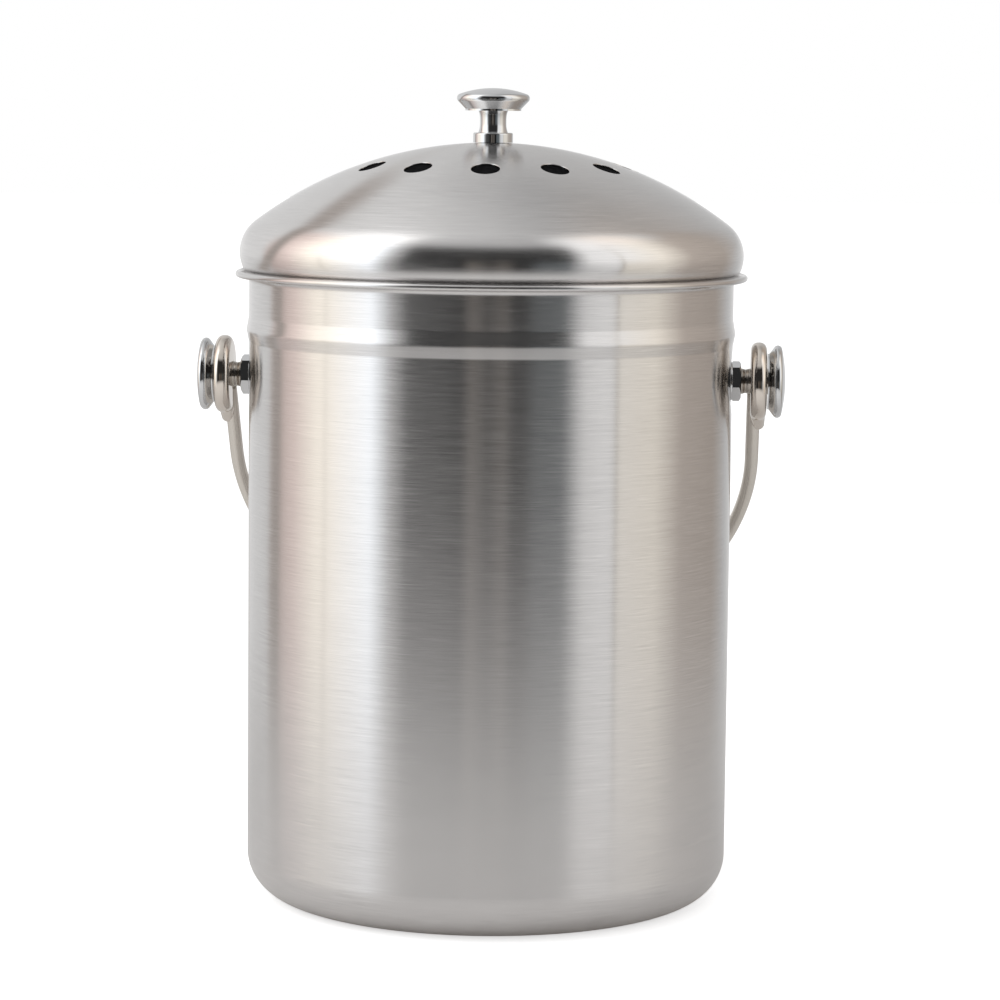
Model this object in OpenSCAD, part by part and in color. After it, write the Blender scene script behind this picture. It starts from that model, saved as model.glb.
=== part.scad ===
// Countertop compost pail: a drawn steel bucket with a swing bail and a lift-off vented
// lid, whose underside carries a tray with two charcoal filters.
// Origin at the centre of the base, +Z up, the bail's pivots along X, the front towards -Y.

/* [Bucket] */
// Outer diameter of the straight wall
body_d = 173.2; // [150:0.1:200]
// Height of the rolled edge's top above the base
rim_h = 225.4; // [205:0.1:260]
// Thickness of the bucket's sheet
wall_t = 0.6; // [0.4:0.1:0.8]
// Outer radius of the bottom corner
corner_r = 16; // [10:0.5:24]
// Width of the flat ring that the bucket stands on
foot_w = 5; // [3:0.5:10]
// Height of the raised middle of the base
base_rise = 1.5; // [0.5:0.1:3]
// Width of the step between the foot ring and the raised middle
base_step_w = 4; // [3:0.5:8]

/* [Rim] */
// How far the rolled edge stands out past the wall
rim_reach = 4.9; // [4.6:0.1:6]
// Diameter of the rolled edge
curl_d = 2.2; // [2:0.1:2.8]
// Height of the rolled edge's centre above the middle of the ledge's sheet
curl_lift = 0.6; // [0.2:0.1:0.7]
// Outer radius of the bend from the wall to the ledge
ledge_bend_r = 2; // [1:0.1:2.4]

/* [Swaged bead] */
// Distance from the rolled edge's top down to the bead's middle
bead_drop = 20.9; // [14:0.1:24]
// Height of the bead
bead_h = 9; // [6:0.5:10]
// How far the bead stands out of the wall
bead_proud = 0.55; // [0.3:0.05:1.2]

/* [Pivots] */
// Distance from the rolled edge's top down to the bail's axis
pivot_drop = 37.9; // [37:0.1:60]
// Depth of the flat pressed into the wall under each pivot
seat_depth = 0.7; // [0.5:0.1:1.2]
// Diameter of the punch that presses the flat
seat_d = 22; // [18:0.5:23]
// Diameter of the washer under the lock nut
outer_washer_d = 13.6; // [12:0.1:16]
// Thickness of the washer under the lock nut
outer_washer_t = 0.8; // [0.5:0.1:1.5]
// Lock nut across its flats
lock_nut_af = 12.6; // [11:0.1:14]
// Thickness of the lock nut
lock_nut_t = 3; // [2.5:0.1:5]
// Turn of the lock nut about its axis
lock_nut_turn = 14; // [0:1:30]
// Diameter of the bearing sleeve that the bail turns on
sleeve_d = 9.1; // [8:0.1:10]
// Diameter of the sleeve's waist, beside the lock nut
sleeve_waist_d = 8.5; // [7.5:0.1:9]
// Length of sleeve that shows between the lock nut and the bail's eye
sleeve_bare = 3.2; // [2.5:0.1:6]
// Diameter of the threaded stud
stud_d = 6; // [5:0.1:6.4]
// Diameter of the washer inside the bucket
inner_washer_d = 14; // [12:0.1:16]
// Thickness of the washer inside the bucket
inner_washer_t = 0.8; // [0.5:0.1:1.5]
// Cap nut across its flats
cap_nut_af = 10; // [9.6:0.1:13]
// Thickness of the cap nut's hexagon
cap_nut_t = 5; // [4:0.1:7]
// Radius of the cap nut's dome
cap_dome_r = 4.4; // [4.2:0.1:5]
// Thickness of the pivot knob's head
pivot_head_t = 6.4; // [5.5:0.1:9]

/* [Bail] */
// Diameter of the bail's wire
wire_d = 4.9; // [4:0.1:5]
// Straight length of each leg, from the bail's axis
bail_leg = 38; // [30:0.5:45]
// Distance from the bail's axis to the middle of its bow
bail_reach = 142; // [125:0.5:160]
// Distance from the bail's axis to the wire's end
wire_start = 5.8; // [5.4:0.1:9]
// How far the wire stands out of the eye, towards the bucket
wire_proud = 0.85; // [0.3:0.05:1]
// Diameter of the eye's disc
eye_d = 28; // [24:0.5:32]
// Thickness of the eye's disc
eye_t = 6; // [5.5:0.1:8]
// Radius that rounds the rim of the eye's disc
eye_round_r = 2.6; // [1:0.1:2.7]
// Distance from the bail's axis to the tip of the eye's socket
socket_reach = 24; // [19:0.5:30]
// Diameter of the socket's tip
socket_tip_d = 4.9; // [4.4:0.1:5.4]
// Diameter of the socket's root, inside the disc
socket_root_d = 18; // [14:0.5:20]
// Distance between the bail and the bucket's back when the bail is down
bail_gap = 0.3; // [0.2:0.1:1]

/* [Lid] */
// Thickness of the lid's sheet
lid_t = 0.6; // [0.4:0.1:0.8]
// How far the lid's widest place lies inside the rolled edge's outside
lid_inset = 1.5; // [1.2:0.1:3]
// Height of the lid's widest place above its foot
belly_h = 7.7; // [6.5:0.1:8.4]
// Radius of the lid's shoulder
shoulder_r = 14; // [13:0.5:18]
// Radius of the lid's crown
crown_r = 140; // [125:1:180]
// Outer radius of the hem at the lid's foot
hem_r = 1.2; // [1:0.1:1.5]
// Distance between the lid's foot and the ledge
lid_gap = 0.3; // [0.2:0.1:1]
// Number of vent holes
vent_count = 12; // [6:1:18]
// Diameter of a vent hole
vent_d = 10; // [6:0.5:12]
// Radius of the ring of vent holes
vent_ring_r = 47.5; // [40:0.5:60]

/* [Lid skirt] */
// Depth of the skirt below the lid's foot
skirt_h = 10; // [8:0.5:14]
// Thickness of the skirt's sheet
skirt_t = 0.5; // [0.4:0.1:0.8]
// Radial clearance between the skirt and the bucket's mouth
skirt_gap = 0.8; // [0.5:0.1:1.5]
// Radius of the bend between the skirt and its flange
skirt_bend_r = 0.7; // [0.5:0.1:0.8]

/* [Lid knob] */
// Diameter of the knobs' heads
knob_d = 26; // [22:0.5:30]
// Diameter of the heads' flat undersides
knob_base_d = 20; // [17:0.5:20.5]
// Radius that rounds the heads' widest edge
knob_edge_r = 1.6; // [1:0.1:1.8]
// Thickness of the lid knob's head
knob_head_t = 8; // [6:0.1:10]
// Length of the lid knob's neck
knob_neck_h = 7.8; // [6:0.1:14]
// Diameter of the lid knob's neck at its waist
knob_neck_d = 9.4; // [8:0.1:12]
// How far the neck's ends flare past its waist
knob_neck_flare = 0.6; // [0.2:0.1:1]
// Diameter of the collar under the knob
collar_d = 14.2; // [13:0.1:18]
// Thickness of the collar under the knob
collar_t = 3.5; // [2:0.1:5]
// Diameter of the knob's screw
screw_d = 5; // [4:0.1:6]
// Length of screw inside the knob
screw_grip = 9; // [5:0.5:12]
// Diameter of the screw's head
screw_head_d = 9.5; // [8:0.1:11]
// Thickness of the screw's head
screw_head_t = 3; // [2:0.1:4]
// Diameter of the washer under the screw's head
knob_washer_d = 13; // [11.5:0.1:18]
// Thickness of the washer under the screw's head
knob_washer_t = 0.8; // [0.5:0.1:1.5]

/* [Filters] */
// Thickness of the tray's wall
tray_wall_t = 1.4; // [1:0.1:2]
// Height of the tray's wall above its floor
tray_wall_h = 8; // [7.6:0.1:8.5]
// Thickness of the tray's floor
tray_floor_t = 1.6; // [1:0.1:2.4]
// Radial clearance between the tray and the skirt
tray_gap = 0.35; // [0.2:0.05:0.8]
// Diameter of a hole in the tray's floor
tray_hole_d = 15; // [8:0.5:16]
// Distance between the rings of holes in the tray's floor
tray_hole_pitch = 22; // [20:0.5:24]
// Number of rings of holes in the tray's floor
tray_rings = 3; // [1:1:3]
// Thickness of one charcoal filter
filter_t = 3.6; // [2:0.1:3.7]
// Radial clearance between the filters and the tray's wall
filter_gap = 0.4; // [0.2:0.1:1]

/* [Fits] */
// Radial running clearance between the eyes and their sleeves
run_gap = 0.05; // [0.02:0.01:0.1]
// Clearance along the axis between an eye and its knob's head
eye_side_gap = 0.3; // [0.2:0.1:0.6]
// Radial clearance between a thread and what it screws into
thread_gap = 0.05; // [0.02:0.01:0.15]
// Radial clearance of the holes that studs and screws pass through
hole_gap = 0.25; // [0.1:0.05:0.5]
// Clearance between the bail's wire and the eyes' sockets
socket_gap = 0.05; // [0.02:0.01:0.1]

/* [Hidden] */

$fn = 96;
// Largest distance between an arc and its chords, and the largest angle of one chord
chord_sag = 0.02;
chord_angle = 10;
// How far a cutting shape runs past the surface that it cuts
over = 1;

// Radii and heights of the bucket
body_r = body_d / 2;
mouth_r = body_r - wall_t;
curl_r = curl_d / 2;
curl_c = [body_r + rim_reach - curl_r, rim_h - curl_r];
ledge_z = curl_c.y - curl_lift + wall_t / 2;
bend_c = [body_r + ledge_bend_r, ledge_z - wall_t - ledge_bend_r];
bead_z = rim_h - bead_drop;
corner_c = [body_r - corner_r, corner_r];
foot_r = corner_c.x - foot_w;

// Places along X, from the bucket's wall out to the knob's tip
pivot_z = rim_h - pivot_drop;
seat_x = body_r - seat_depth;
nut_in = seat_x + outer_washer_t;
nut_out = nut_in + lock_nut_t;
eye_in = nut_out + sleeve_bare;
eye_out = eye_in + eye_t;
head_x = eye_out + eye_side_gap;
// Places along X, from the bucket's wall in to the cap nut's dome
seat_in = seat_x - wall_t;
cap_out = seat_in - inner_washer_t;
cap_in = cap_out - cap_nut_t;
stud_end = cap_in - 1;

// The bail's bow: two side arcs and an end arc, which meet where the radius runs
// 3 across for 4 down, so that the centres lie on the sides of a 3-4-5 triangle
wire_r = wire_d / 2;
wire_x = eye_in - wire_proud + wire_r;
bow_depth = bail_reach - bail_leg;
side_c = 1.5 * (bow_depth - wire_x);
side_r = wire_x + side_c;
end_c = 2 * (bow_depth - wire_x);
end_r = bow_depth - end_c;
// The bail leans back from straight down until its bow meets the bucket
bail_lean = asin((body_r + bail_gap + wire_r) / bail_reach);

// Centres and angles of the lid's arcs
lid_z = ledge_z + lid_gap;
shoulder_c = [body_r + rim_reach - lid_inset - shoulder_r, lid_z + belly_h];
crown_z = shoulder_c.y - sqrt(pow(crown_r - shoulder_r, 2) - pow(shoulder_c.x, 2));
crown_angle = acos(shoulder_c.x / (crown_r - shoulder_r));
hem_angle = asin((hem_r - belly_h) / (shoulder_r - hem_r));
hem_c = shoulder_c + (shoulder_r - hem_r) * [cos(hem_angle), sin(hem_angle)];
apex_z = crown_z + crown_r;
skirt_r = mouth_r - skirt_gap;
skirt_top = lid_z + lid_t;
skirt_bottom = lid_z - skirt_h;
skirt_bend_c = [skirt_r + skirt_bend_r, skirt_top - skirt_bend_r];

// Heights of what is stacked on the lid's crown, and under it
neck_z = apex_z + collar_t;
head_z = neck_z + knob_neck_h;
knob_washer_z = crown_z + sqrt(pow(crown_r - lid_t, 2) - pow(knob_washer_d / 2, 2)) - chord_sag;
screw_z = knob_washer_z - knob_washer_t;

// The filter tray hangs in the skirt by its wall, with its lip under the skirt's edge
tray_top_of_lip = skirt_bottom - lid_gap;
tray_z = tray_top_of_lip - tray_floor_t;
tray_r = skirt_r - skirt_t - tray_gap;
filter_z = tray_top_of_lip;
filter_r = tray_r - tray_wall_t - filter_gap;

// Points along an arc of centre c and radius r, from angle a0 to angle a1
function arc(c, r, a0, a1) =
  let (
    chord = min(chord_angle, 2 * acos(1 - min(0.5, chord_sag / r))),
    n = max(2, ceil(abs(a1 - a0) / chord))
  )
  [for (i = [0 : n]) let (a = a0 + (a1 - a0) * i / n) c + r * [cos(a), sin(a)]];

// A smooth step from 0 to 1 as u goes from 0 to 1
function ease(u) = (1 - cos(180 * u)) / 2;

// A list in the opposite order
function reversed(list) = [for (i = [len(list) - 1 : -1 : 0]) list[i]];

// The swaged bead's bulge on a wall of radius r
function bead(r) =
  [for (i = [0 : 16]) [r + bead_proud * ease(1 - abs(i / 8 - 1)), bead_z + bead_h * (i / 16 - 0.5)]];

// The base's underside, from the raised middle down to the foot ring, lifted by z
function base(z) =
  [for (i = [0 : 8]) [foot_r + base_step_w * (i / 8 - 1), z + base_rise * (1 - ease(i / 8))]];

// The rim of a knob's head is an arc between its domed top and its tapered side
function head_points(t) =
  let (
    edge_c = [knob_d / 2 - knob_edge_r, 0.55 * t],
    rise = t - edge_c.y,
    dome_r = (pow(edge_c.x, 2) + pow(rise, 2) - pow(knob_edge_r, 2)) / (2 * (rise - knob_edge_r)),
    dome_c = [0, t - dome_r],
    dome_angle = atan2(edge_c.y - dome_c.y, edge_c.x),
    step = [knob_base_d / 2, 0.08 * t],
    away = step - edge_c,
    taper_angle = atan2(away.y, away.x) + acos(knob_edge_r / norm(away))
  )
  concat(
    [[0, 0], [knob_base_d / 2, 0], step],
    arc(edge_c, knob_edge_r, taper_angle, dome_angle),
    arc(dome_c, dome_r, dome_angle, 90)
  );

// Turns a shape made along Z so that it lies along X, on the bail's axis
module on_axis(x) { translate([x, 0, pivot_z]) rotate([0, 90, 0]) children(); }

// Moves a shape made on the right side to the left side
module to_left() { mirror([1, 0, 0]) children(); }

// Turns a bail that hangs straight down from the origin to its place on the bucket
module bail_place() { translate([0, 0, pivot_z]) rotate([bail_lean, 0, 0]) children(); }

module ring(d, hole_d, t) {
  difference() {
    cylinder(h = t, d = d);
    translate([0, 0, -over]) cylinder(h = t + 2 * over, d = hole_d);
  }
}

// A hexagon nut with its outer corners chamfered
module hex_nut(af, t, bore_d) {
  corner_d = af / cos(30);
  difference() {
    intersection() {
      cylinder(h = t, d = corner_d, $fn = 6);
      rotate_extrude() polygon([
        [0, 0], [corner_d / 2 + over, 0], [corner_d / 2 + over, t - 0.27 * (corner_d - af) - 0.577 * over],
        [af / 2 * 0.98, t], [0, t]
      ]);
    }
    translate([0, 0, -over]) cylinder(h = t + 2 * over, d = bore_d);
  }
}

// ---- Bucket ----

module bucket_shell() {
  outside = concat(
    [[0, base_rise]], base(0),
    arc(corner_c, corner_r, -90, 0),
    bead(body_r),
    arc(bend_c, ledge_bend_r, 180, 90)
  );
  inside = concat(
    [[0, base_rise + wall_t]], base(wall_t),
    arc(corner_c, corner_r - wall_t, -90, 0),
    bead(mouth_r),
    arc(bend_c, ledge_bend_r + wall_t, 180, 90)
  );
  curl = arc(
    curl_c, curl_r,
    -180 - asin((ledge_z - wall_t - curl_c.y) / curl_r),
    180 - asin((ledge_z - curl_c.y) / curl_r)
  );
  color("silver") difference() {
    union() {
      difference() {
        rotate_extrude() polygon(concat(outside, curl, reversed(inside)));
        for (side = [0, 1]) mirror([side, 0, 0]) on_axis(seat_x) cylinder(h = body_r, d = seat_d);
      }
      for (side = [0, 1]) mirror([side, 0, 0]) seat();
    }
    for (side = [0, 1]) mirror([side, 0, 0])
      on_axis(seat_in - over) cylinder(h = wall_t + 2 * over, d = stud_d + 2 * hole_gap);
  }
}

// The shallow cup that the punch leaves: a flat, and a short wall that joins it to the bucket
module seat() {
  intersection() {
    on_axis(seat_in) difference() {
      cylinder(h = seat_depth + wall_t, d = seat_d + 2 * wall_t);
      translate([0, 0, wall_t]) cylinder(h = seat_depth + over, d = seat_d);
    }
    cylinder(h = rim_h, r = body_r - wall_t / 4);
  }
}

// ---- Pivots: made on the right side ----

module pivot_knob() {
  color("gainsboro") {
    on_axis(head_x) rotate_extrude() polygon(head_points(pivot_head_t));
    on_axis(stud_end) cylinder(h = head_x - stud_end, d = stud_d);
  }
}

module pivot_sleeve() {
  neck = sleeve_bare - 0.6;
  waist = [for (i = [0 : 10]) [
    sleeve_d / 2 - (sleeve_d - sleeve_waist_d) / 2 * ease(1 - abs(i / 5 - 1)),
    0.3 + neck * i / 10
  ]];
  bore_r = stud_d / 2 + thread_gap;
  color("darkgray") on_axis(nut_out) rotate_extrude() polygon(concat(
    [[bore_r, 0], [sleeve_d / 2, 0]], waist,
    [[sleeve_d / 2, head_x - nut_out], [bore_r, head_x - nut_out]]
  ));
}

module lock_nut() {
  color("gainsboro") on_axis(nut_in) rotate([0, 0, lock_nut_turn])
    hex_nut(lock_nut_af, lock_nut_t, stud_d + 2 * thread_gap);
}

module outer_washer() {
  color("gainsboro") on_axis(seat_x) ring(outer_washer_d, stud_d + 2 * hole_gap, outer_washer_t);
}

module inner_washer() {
  color("gainsboro") on_axis(cap_out) ring(inner_washer_d, stud_d + 2 * hole_gap, inner_washer_t);
}

module cap_nut() {
  color("gainsboro") difference() {
    union() {
      on_axis(cap_in) cylinder(h = cap_nut_t, d = cap_nut_af / cos(30), $fn = 6);
      on_axis(cap_in) sphere(cap_dome_r);
    }
    on_axis(stud_end - 0.5) cylinder(h = cap_out - stud_end + over, d = stud_d + 2 * thread_gap);
  }
}

module left_pivot_knob() { to_left() pivot_knob(); }
module left_sleeve() { to_left() pivot_sleeve(); }
module left_lock_nut() { to_left() lock_nut(); }
module left_outer_washer() { to_left() outer_washer(); }
module left_inner_washer() { to_left() inner_washer(); }
module left_cap_nut() { to_left() cap_nut(); }
module right_pivot_knob() { pivot_knob(); }
module right_sleeve() { pivot_sleeve(); }
module right_lock_nut() { lock_nut(); }
module right_outer_washer() { outer_washer(); }
module right_inner_washer() { inner_washer(); }
module right_cap_nut() { cap_nut(); }

// ---- Bail: hangs straight down from the origin until bail_place() turns it ----

// The stretch of a round bar, bent to radius r in the XZ plane, that lies between two rays
module bent_wire(r, ray_a, ray_b) {
  far = 100;
  rotate([90, 0, 0]) intersection() {
    rotate_extrude() translate([r, 0]) circle(d = wire_d);
    linear_extrude(2 * wire_d, center = true) polygon([[0, 0], far * ray_a, far * ray_b]);
  }
}

module bail_wire() {
  color("lightgray") bail_place() {
    for (side = [0, 1]) mirror([side, 0, 0]) {
      translate([wire_x, 0, -bail_leg]) cylinder(h = bail_leg - wire_start, d = wire_d);
      translate([-side_c, 0, -bail_leg]) bent_wire(side_r, [3, 0], [3, -4]);
    }
    translate([0, 0, -bail_leg - end_c]) bent_wire(end_r, [3, -4], [-3, -4]);
  }
}

// A disc with a rounded rim, lying along X from eye_in to eye_out
module round_disc(d) {
  r = d / 2;
  translate([eye_in, 0, 0]) rotate([0, 90, 0]) rotate_extrude() polygon(concat(
    [[0, 0]],
    arc([r - eye_round_r, eye_round_r], eye_round_r, -90, 0),
    arc([r - eye_round_r, eye_t - eye_round_r], eye_round_r, 0, 90),
    [[0, eye_t]]
  ));
}

module bail_eye() {
  tip_r = socket_tip_d / 2;
  color("gainsboro") bail_place() difference() {
    union() {
      round_disc(eye_d);
      hull($fn = 32) {
        round_disc(socket_root_d);
        translate([eye_out - 0.2 - tip_r, 0, tip_r - socket_reach]) sphere(tip_r);
      }
    }
    translate([eye_in - over, 0, 0]) rotate([0, 90, 0])
      cylinder(h = eye_t + 2 * over, r = sleeve_d / 2 + run_gap);
    translate([wire_x, 0, -socket_reach - over])
      cylinder(h = socket_reach + over - wire_start + socket_gap, r = wire_r + socket_gap);
  }
}

module left_bail_eye() { to_left() bail_eye(); }
module right_bail_eye() { bail_eye(); }

// ---- Lid ----

module lid_dome() {
  hem_in = skirt_bend_c.x + 0.1;
  outside = concat(
    arc([0, crown_z], crown_r, 90, crown_angle),
    arc(shoulder_c, shoulder_r, crown_angle, hem_angle),
    arc(hem_c, hem_r, hem_angle, -90),
    [[hem_in, lid_z]]
  );
  inside = concat(
    arc([0, crown_z], crown_r - lid_t, 90, crown_angle),
    arc(shoulder_c, shoulder_r - lid_t, crown_angle, hem_angle),
    arc(hem_c, hem_r - lid_t, hem_angle, -90),
    [[hem_in, lid_z + lid_t]]
  );
  color("silver") difference() {
    rotate_extrude() polygon(concat(outside, reversed(inside)));
    translate([0, 0, apex_z - lid_t - over])
      cylinder(h = lid_t + 2 * over, d = screw_d + 2 * hole_gap);
    for (i = [0 : vent_count - 1]) rotate([0, 0, 360 * i / vent_count - 90])
      translate([0, 0, crown_z]) rotate([0, asin(vent_ring_r / crown_r), 0])
      translate([0, 0, crown_r - lid_t - over]) cylinder(h = lid_t + 2 * over, d = vent_d);
  }
}

module lid_skirt() {
  color("silver") rotate_extrude() polygon(concat(
    [[hem_c.x - 0.2, skirt_top]],
    arc(skirt_bend_c, skirt_bend_r, 90, 180),
    [[skirt_r, skirt_bottom], [skirt_r - skirt_t, skirt_bottom]],
    arc(skirt_bend_c, skirt_bend_r + skirt_t, 180, 90),
    [[hem_c.x - 0.2, skirt_top + skirt_t]]
  ));
}

module lid_knob() {
  neck = [for (i = [0 : 16]) [
    knob_neck_d / 2 + knob_neck_flare * pow(abs(i / 8 - 1), 3),
    knob_neck_h * i / 16
  ]];
  color("gainsboro") difference() {
    union() {
      translate([0, 0, neck_z]) rotate_extrude() polygon(concat([[0, 0]], neck, [[0, knob_neck_h]]));
      translate([0, 0, head_z]) rotate_extrude() polygon(head_points(knob_head_t));
    }
    translate([0, 0, neck_z - over])
      cylinder(h = screw_grip + 0.5 + over, d = screw_d + 2 * thread_gap);
  }
}

module knob_collar() {
  round_r = 0.5;
  bore_r = screw_d / 2 + hole_gap;
  color("gainsboro") translate([0, 0, apex_z]) rotate_extrude() polygon(concat(
    [[bore_r, 0], [collar_d / 2, 0]],
    arc([collar_d / 2 - round_r, collar_t - round_r], round_r, 0, 90),
    [[bore_r, collar_t]]
  ));
}

module knob_washer() {
  color("gainsboro") translate([0, 0, screw_z]) ring(knob_washer_d, screw_d + 2 * hole_gap, knob_washer_t);
}

module knob_screw() {
  slot_w = 1.2;
  slot_depth = 1.6;
  color("gray") difference() {
    union() {
      translate([0, 0, screw_z - screw_head_t]) cylinder(h = screw_head_t, d = screw_head_d);
      translate([0, 0, screw_z - screw_head_t / 2])
        cylinder(h = neck_z + screw_grip - screw_z + screw_head_t / 2, d = screw_d);
    }
    for (turn = [0, 90]) rotate([0, 0, turn])
      translate([-screw_head_d / 3, -slot_w / 2, screw_z - screw_head_t - over])
      cube([screw_head_d * 2 / 3, slot_w, slot_depth + over]);
  }
}

// ---- Filters ----

module filter_tray() {
  color("dimgray") difference() {
    translate([0, 0, tray_z]) rotate_extrude() polygon([
      [0, 0], [skirt_r - 0.2, 0], [skirt_r - 0.2, tray_floor_t], [tray_r, tray_floor_t],
      [tray_r, tray_floor_t + tray_wall_h], [tray_r - tray_wall_t, tray_floor_t + tray_wall_h],
      [tray_r - tray_wall_t, tray_floor_t], [0, tray_floor_t]
    ]);
    for (ring = [0 : tray_rings], i = [0 : max(0, 6 * ring - 1)])
      rotate([0, 0, ring == 0 ? 0 : 60 * i / ring])
      translate([ring * tray_hole_pitch, 0, tray_z - over])
      cylinder(h = tray_floor_t + 2 * over, d = tray_hole_d);
  }
}

module lower_filter() {
  color([0.1, 0.1, 0.1]) translate([0, 0, filter_z]) cylinder(h = filter_t, r = filter_r);
}

module upper_filter() {
  color([0.14, 0.14, 0.14]) translate([0, 0, filter_z + filter_t]) cylinder(h = filter_t, r = filter_r);
}

bucket_shell();
left_pivot_knob();
left_sleeve();
left_lock_nut();
left_outer_washer();
left_inner_washer();
left_cap_nut();
right_pivot_knob();
right_sleeve();
right_lock_nut();
right_outer_washer();
right_inner_washer();
right_cap_nut();
bail_wire();
left_bail_eye();
right_bail_eye();
lid_dome();
lid_skirt();
lid_knob();
knob_collar();
knob_washer();
knob_screw();
filter_tray();
lower_filter();
upper_filter();
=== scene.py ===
# %% [markdown]
# # A steel compost pail
# The pail is a drawn steel bucket with a swing bail and a vented lid that lifts off by its knob. The CAD model
# gives every piece its place and its joints. Here each piece gets the surface that the eye meets: turned shells
# without facets, punched vents, chrome, and steel that was brushed round and round.

import math

import bmesh
import bpy
from mathutils import Matrix, Vector


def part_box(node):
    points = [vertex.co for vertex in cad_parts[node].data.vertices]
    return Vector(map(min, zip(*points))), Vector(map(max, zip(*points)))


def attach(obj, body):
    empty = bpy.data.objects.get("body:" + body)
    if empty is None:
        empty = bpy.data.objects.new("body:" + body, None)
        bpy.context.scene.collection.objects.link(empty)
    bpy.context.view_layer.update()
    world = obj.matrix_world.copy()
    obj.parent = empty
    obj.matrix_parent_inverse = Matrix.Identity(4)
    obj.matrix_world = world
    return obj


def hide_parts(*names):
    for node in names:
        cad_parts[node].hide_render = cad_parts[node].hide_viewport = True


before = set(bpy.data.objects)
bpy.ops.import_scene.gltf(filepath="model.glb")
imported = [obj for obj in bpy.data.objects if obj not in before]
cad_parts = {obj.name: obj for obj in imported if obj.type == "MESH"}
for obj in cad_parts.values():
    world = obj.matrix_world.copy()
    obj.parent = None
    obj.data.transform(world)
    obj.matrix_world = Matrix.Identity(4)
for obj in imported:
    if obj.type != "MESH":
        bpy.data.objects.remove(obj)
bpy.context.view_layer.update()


# %% [markdown]
# ## One way to add a node
# Materials and geometry trees are both made of nodes. One small function adds any of them. Its settings are named,
# and each input takes a value, an output of another node, or just that node, which then gives its first output.
# A list goes into an input that takes several links. Each new node is put to the right of the last, so a tree can
# be read in the editor from left to right.

# %% A helper for nodes
def add(tree, kind, inputs=None, **settings):
    node = tree.nodes.new(kind)
    node.location = (220 * len(tree.nodes), 0)
    for name, value in settings.items():
        setattr(node, name, value)
    for key, value in (inputs or {}).items():
        for source in value if isinstance(value, list) else [value]:
            if isinstance(source, bpy.types.Node):
                source = next(socket for socket in source.outputs if socket.enabled)
            if isinstance(source, bpy.types.NodeSocket):
                tree.links.new(source, node.inputs[key])
            else:
                node.inputs[key].default_value = source
    return node


print("Blender", bpy.app.version_string)

# %% Colours, lengths and objects
MM = 0.001
TINT_A, TINT_B = 6, 7  # a Mix node's two colours; its two plain numbers are inputs 2 and 3


def colour(code):
    """An sRGB hex colour as the linear numbers that shaders use."""
    parts = [int(code[i : i + 2], 16) / 255 for i in (1, 3, 5)]
    return (*(c / 12.92 if c <= 0.04045 else ((c + 0.055) / 1.055) ** 2.4 for c in parts), 1.0)


def grey(level):
    return (level, level, level, 1)


def show(name, data):
    """A new object in the scene, at the origin."""
    obj = bpy.data.objects.new(name, data)
    bpy.context.scene.collection.objects.link(obj)
    return obj


print("mid grey", [round(c, 3) for c in colour("#808080")])

# %% [markdown]
# ## Camera
# A long lens from the front, a little above the rim, with the pail turned three degrees. The camera's turn is
# built as a matrix from its pan, its downward pitch and a slight roll, which is easier to check than three
# Euler angles.

# %% Camera
FRAME_PX, SENSOR_MM, LENS_PX = 1000, 36, 3582.89
DISTANCE, EYE_HEIGHT = 1.28358, 0.287126
PAN, PITCH, ROLL, YAW = -0.003, 0.1116, 0.0106, math.radians(3)

level = Vector((-math.sin(PAN), math.cos(PAN), 0))
across = Vector((math.cos(PAN), math.sin(PAN), 0))
ahead = math.cos(PITCH) * level - math.sin(PITCH) * Vector((0, 0, 1))
above = math.sin(PITCH) * level + math.cos(PITCH) * Vector((0, 0, 1))
right = math.cos(ROLL) * across + math.sin(ROLL) * above
up = math.cos(ROLL) * above - math.sin(ROLL) * across

lens = bpy.data.cameras.new("camera")
lens.sensor_width = SENSOR_MM
lens.lens = LENS_PX * SENSOR_MM / FRAME_PX
lens.clip_start, lens.clip_end = 0.02, 50
camera = show("camera", lens)
turn = Matrix((right, up, -ahead)).transposed().to_4x4()
camera.matrix_world = Matrix.Rotation(YAW, 4, "Z") @ Matrix.Translation((0, -DISTANCE, EYE_HEIGHT)) @ turn
bpy.context.scene.camera = camera
bpy.context.scene.view_settings.view_transform = "Standard"
print("lens", round(lens.lens, 1), "mm at", [round(v, 3) for v in camera.matrix_world.translation])

# %% [markdown]
# ## Studio
# Metal has no look of its own: it shows the room. This room is painted on the world as a panorama, since a shell
# that far away needs no geometry. Each mark is a direction, counted in degrees from the camera's side, and how
# bright the room is there: a white backdrop, a soft box on each side, and the dark end of the room where the
# camera stands. The dark end makes the deep band down the front of the wall. There are three rows of marks: the
# lower part of the room, the part above eye level, and the part under the ceiling, where the boxes end.

# %% Room: what stands where
# A mark is a direction, a level and a tint, which is white where none is given.
WHITE, PINK, CREAM, SAND, BLUE, ICE = "#ffffff", "#ffece5", "#fff8ec", "#fff2e6", "#e6f2f8", "#f5faff"
ROOM_START = -183
LOW_ROOM = [
    (-183, 0.88), (-129, 0.86), (-121, 0.74, PINK), (-106, 1.00, PINK), (-90, 1.42, CREAM), (-86, 1.44, CREAM),
    (-84, 1.05, CREAM), (-82, 1.44, CREAM), (-58, 1.68, ICE), (-48, 0.50), (-40, 0.10), (-22, 0.05), (-14, 0.0),
    (-8.5, 0.19, SAND), (-1, 0.05, SAND), (6, 0.16, SAND), (11, 0.0), (15, 0.0), (22, 0.15, BLUE), (34, 0.20, BLUE),
    (44, 0.78), (54, 0.93), (59.9, 0.93), (61.4, 0.42, CREAM), (62.9, 0.98, CREAM), (84, 0.99, CREAM),
    (102, 0.56, SAND), (132, 0.48, SAND), (150, 0.62), (177, 0.88)]
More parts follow.
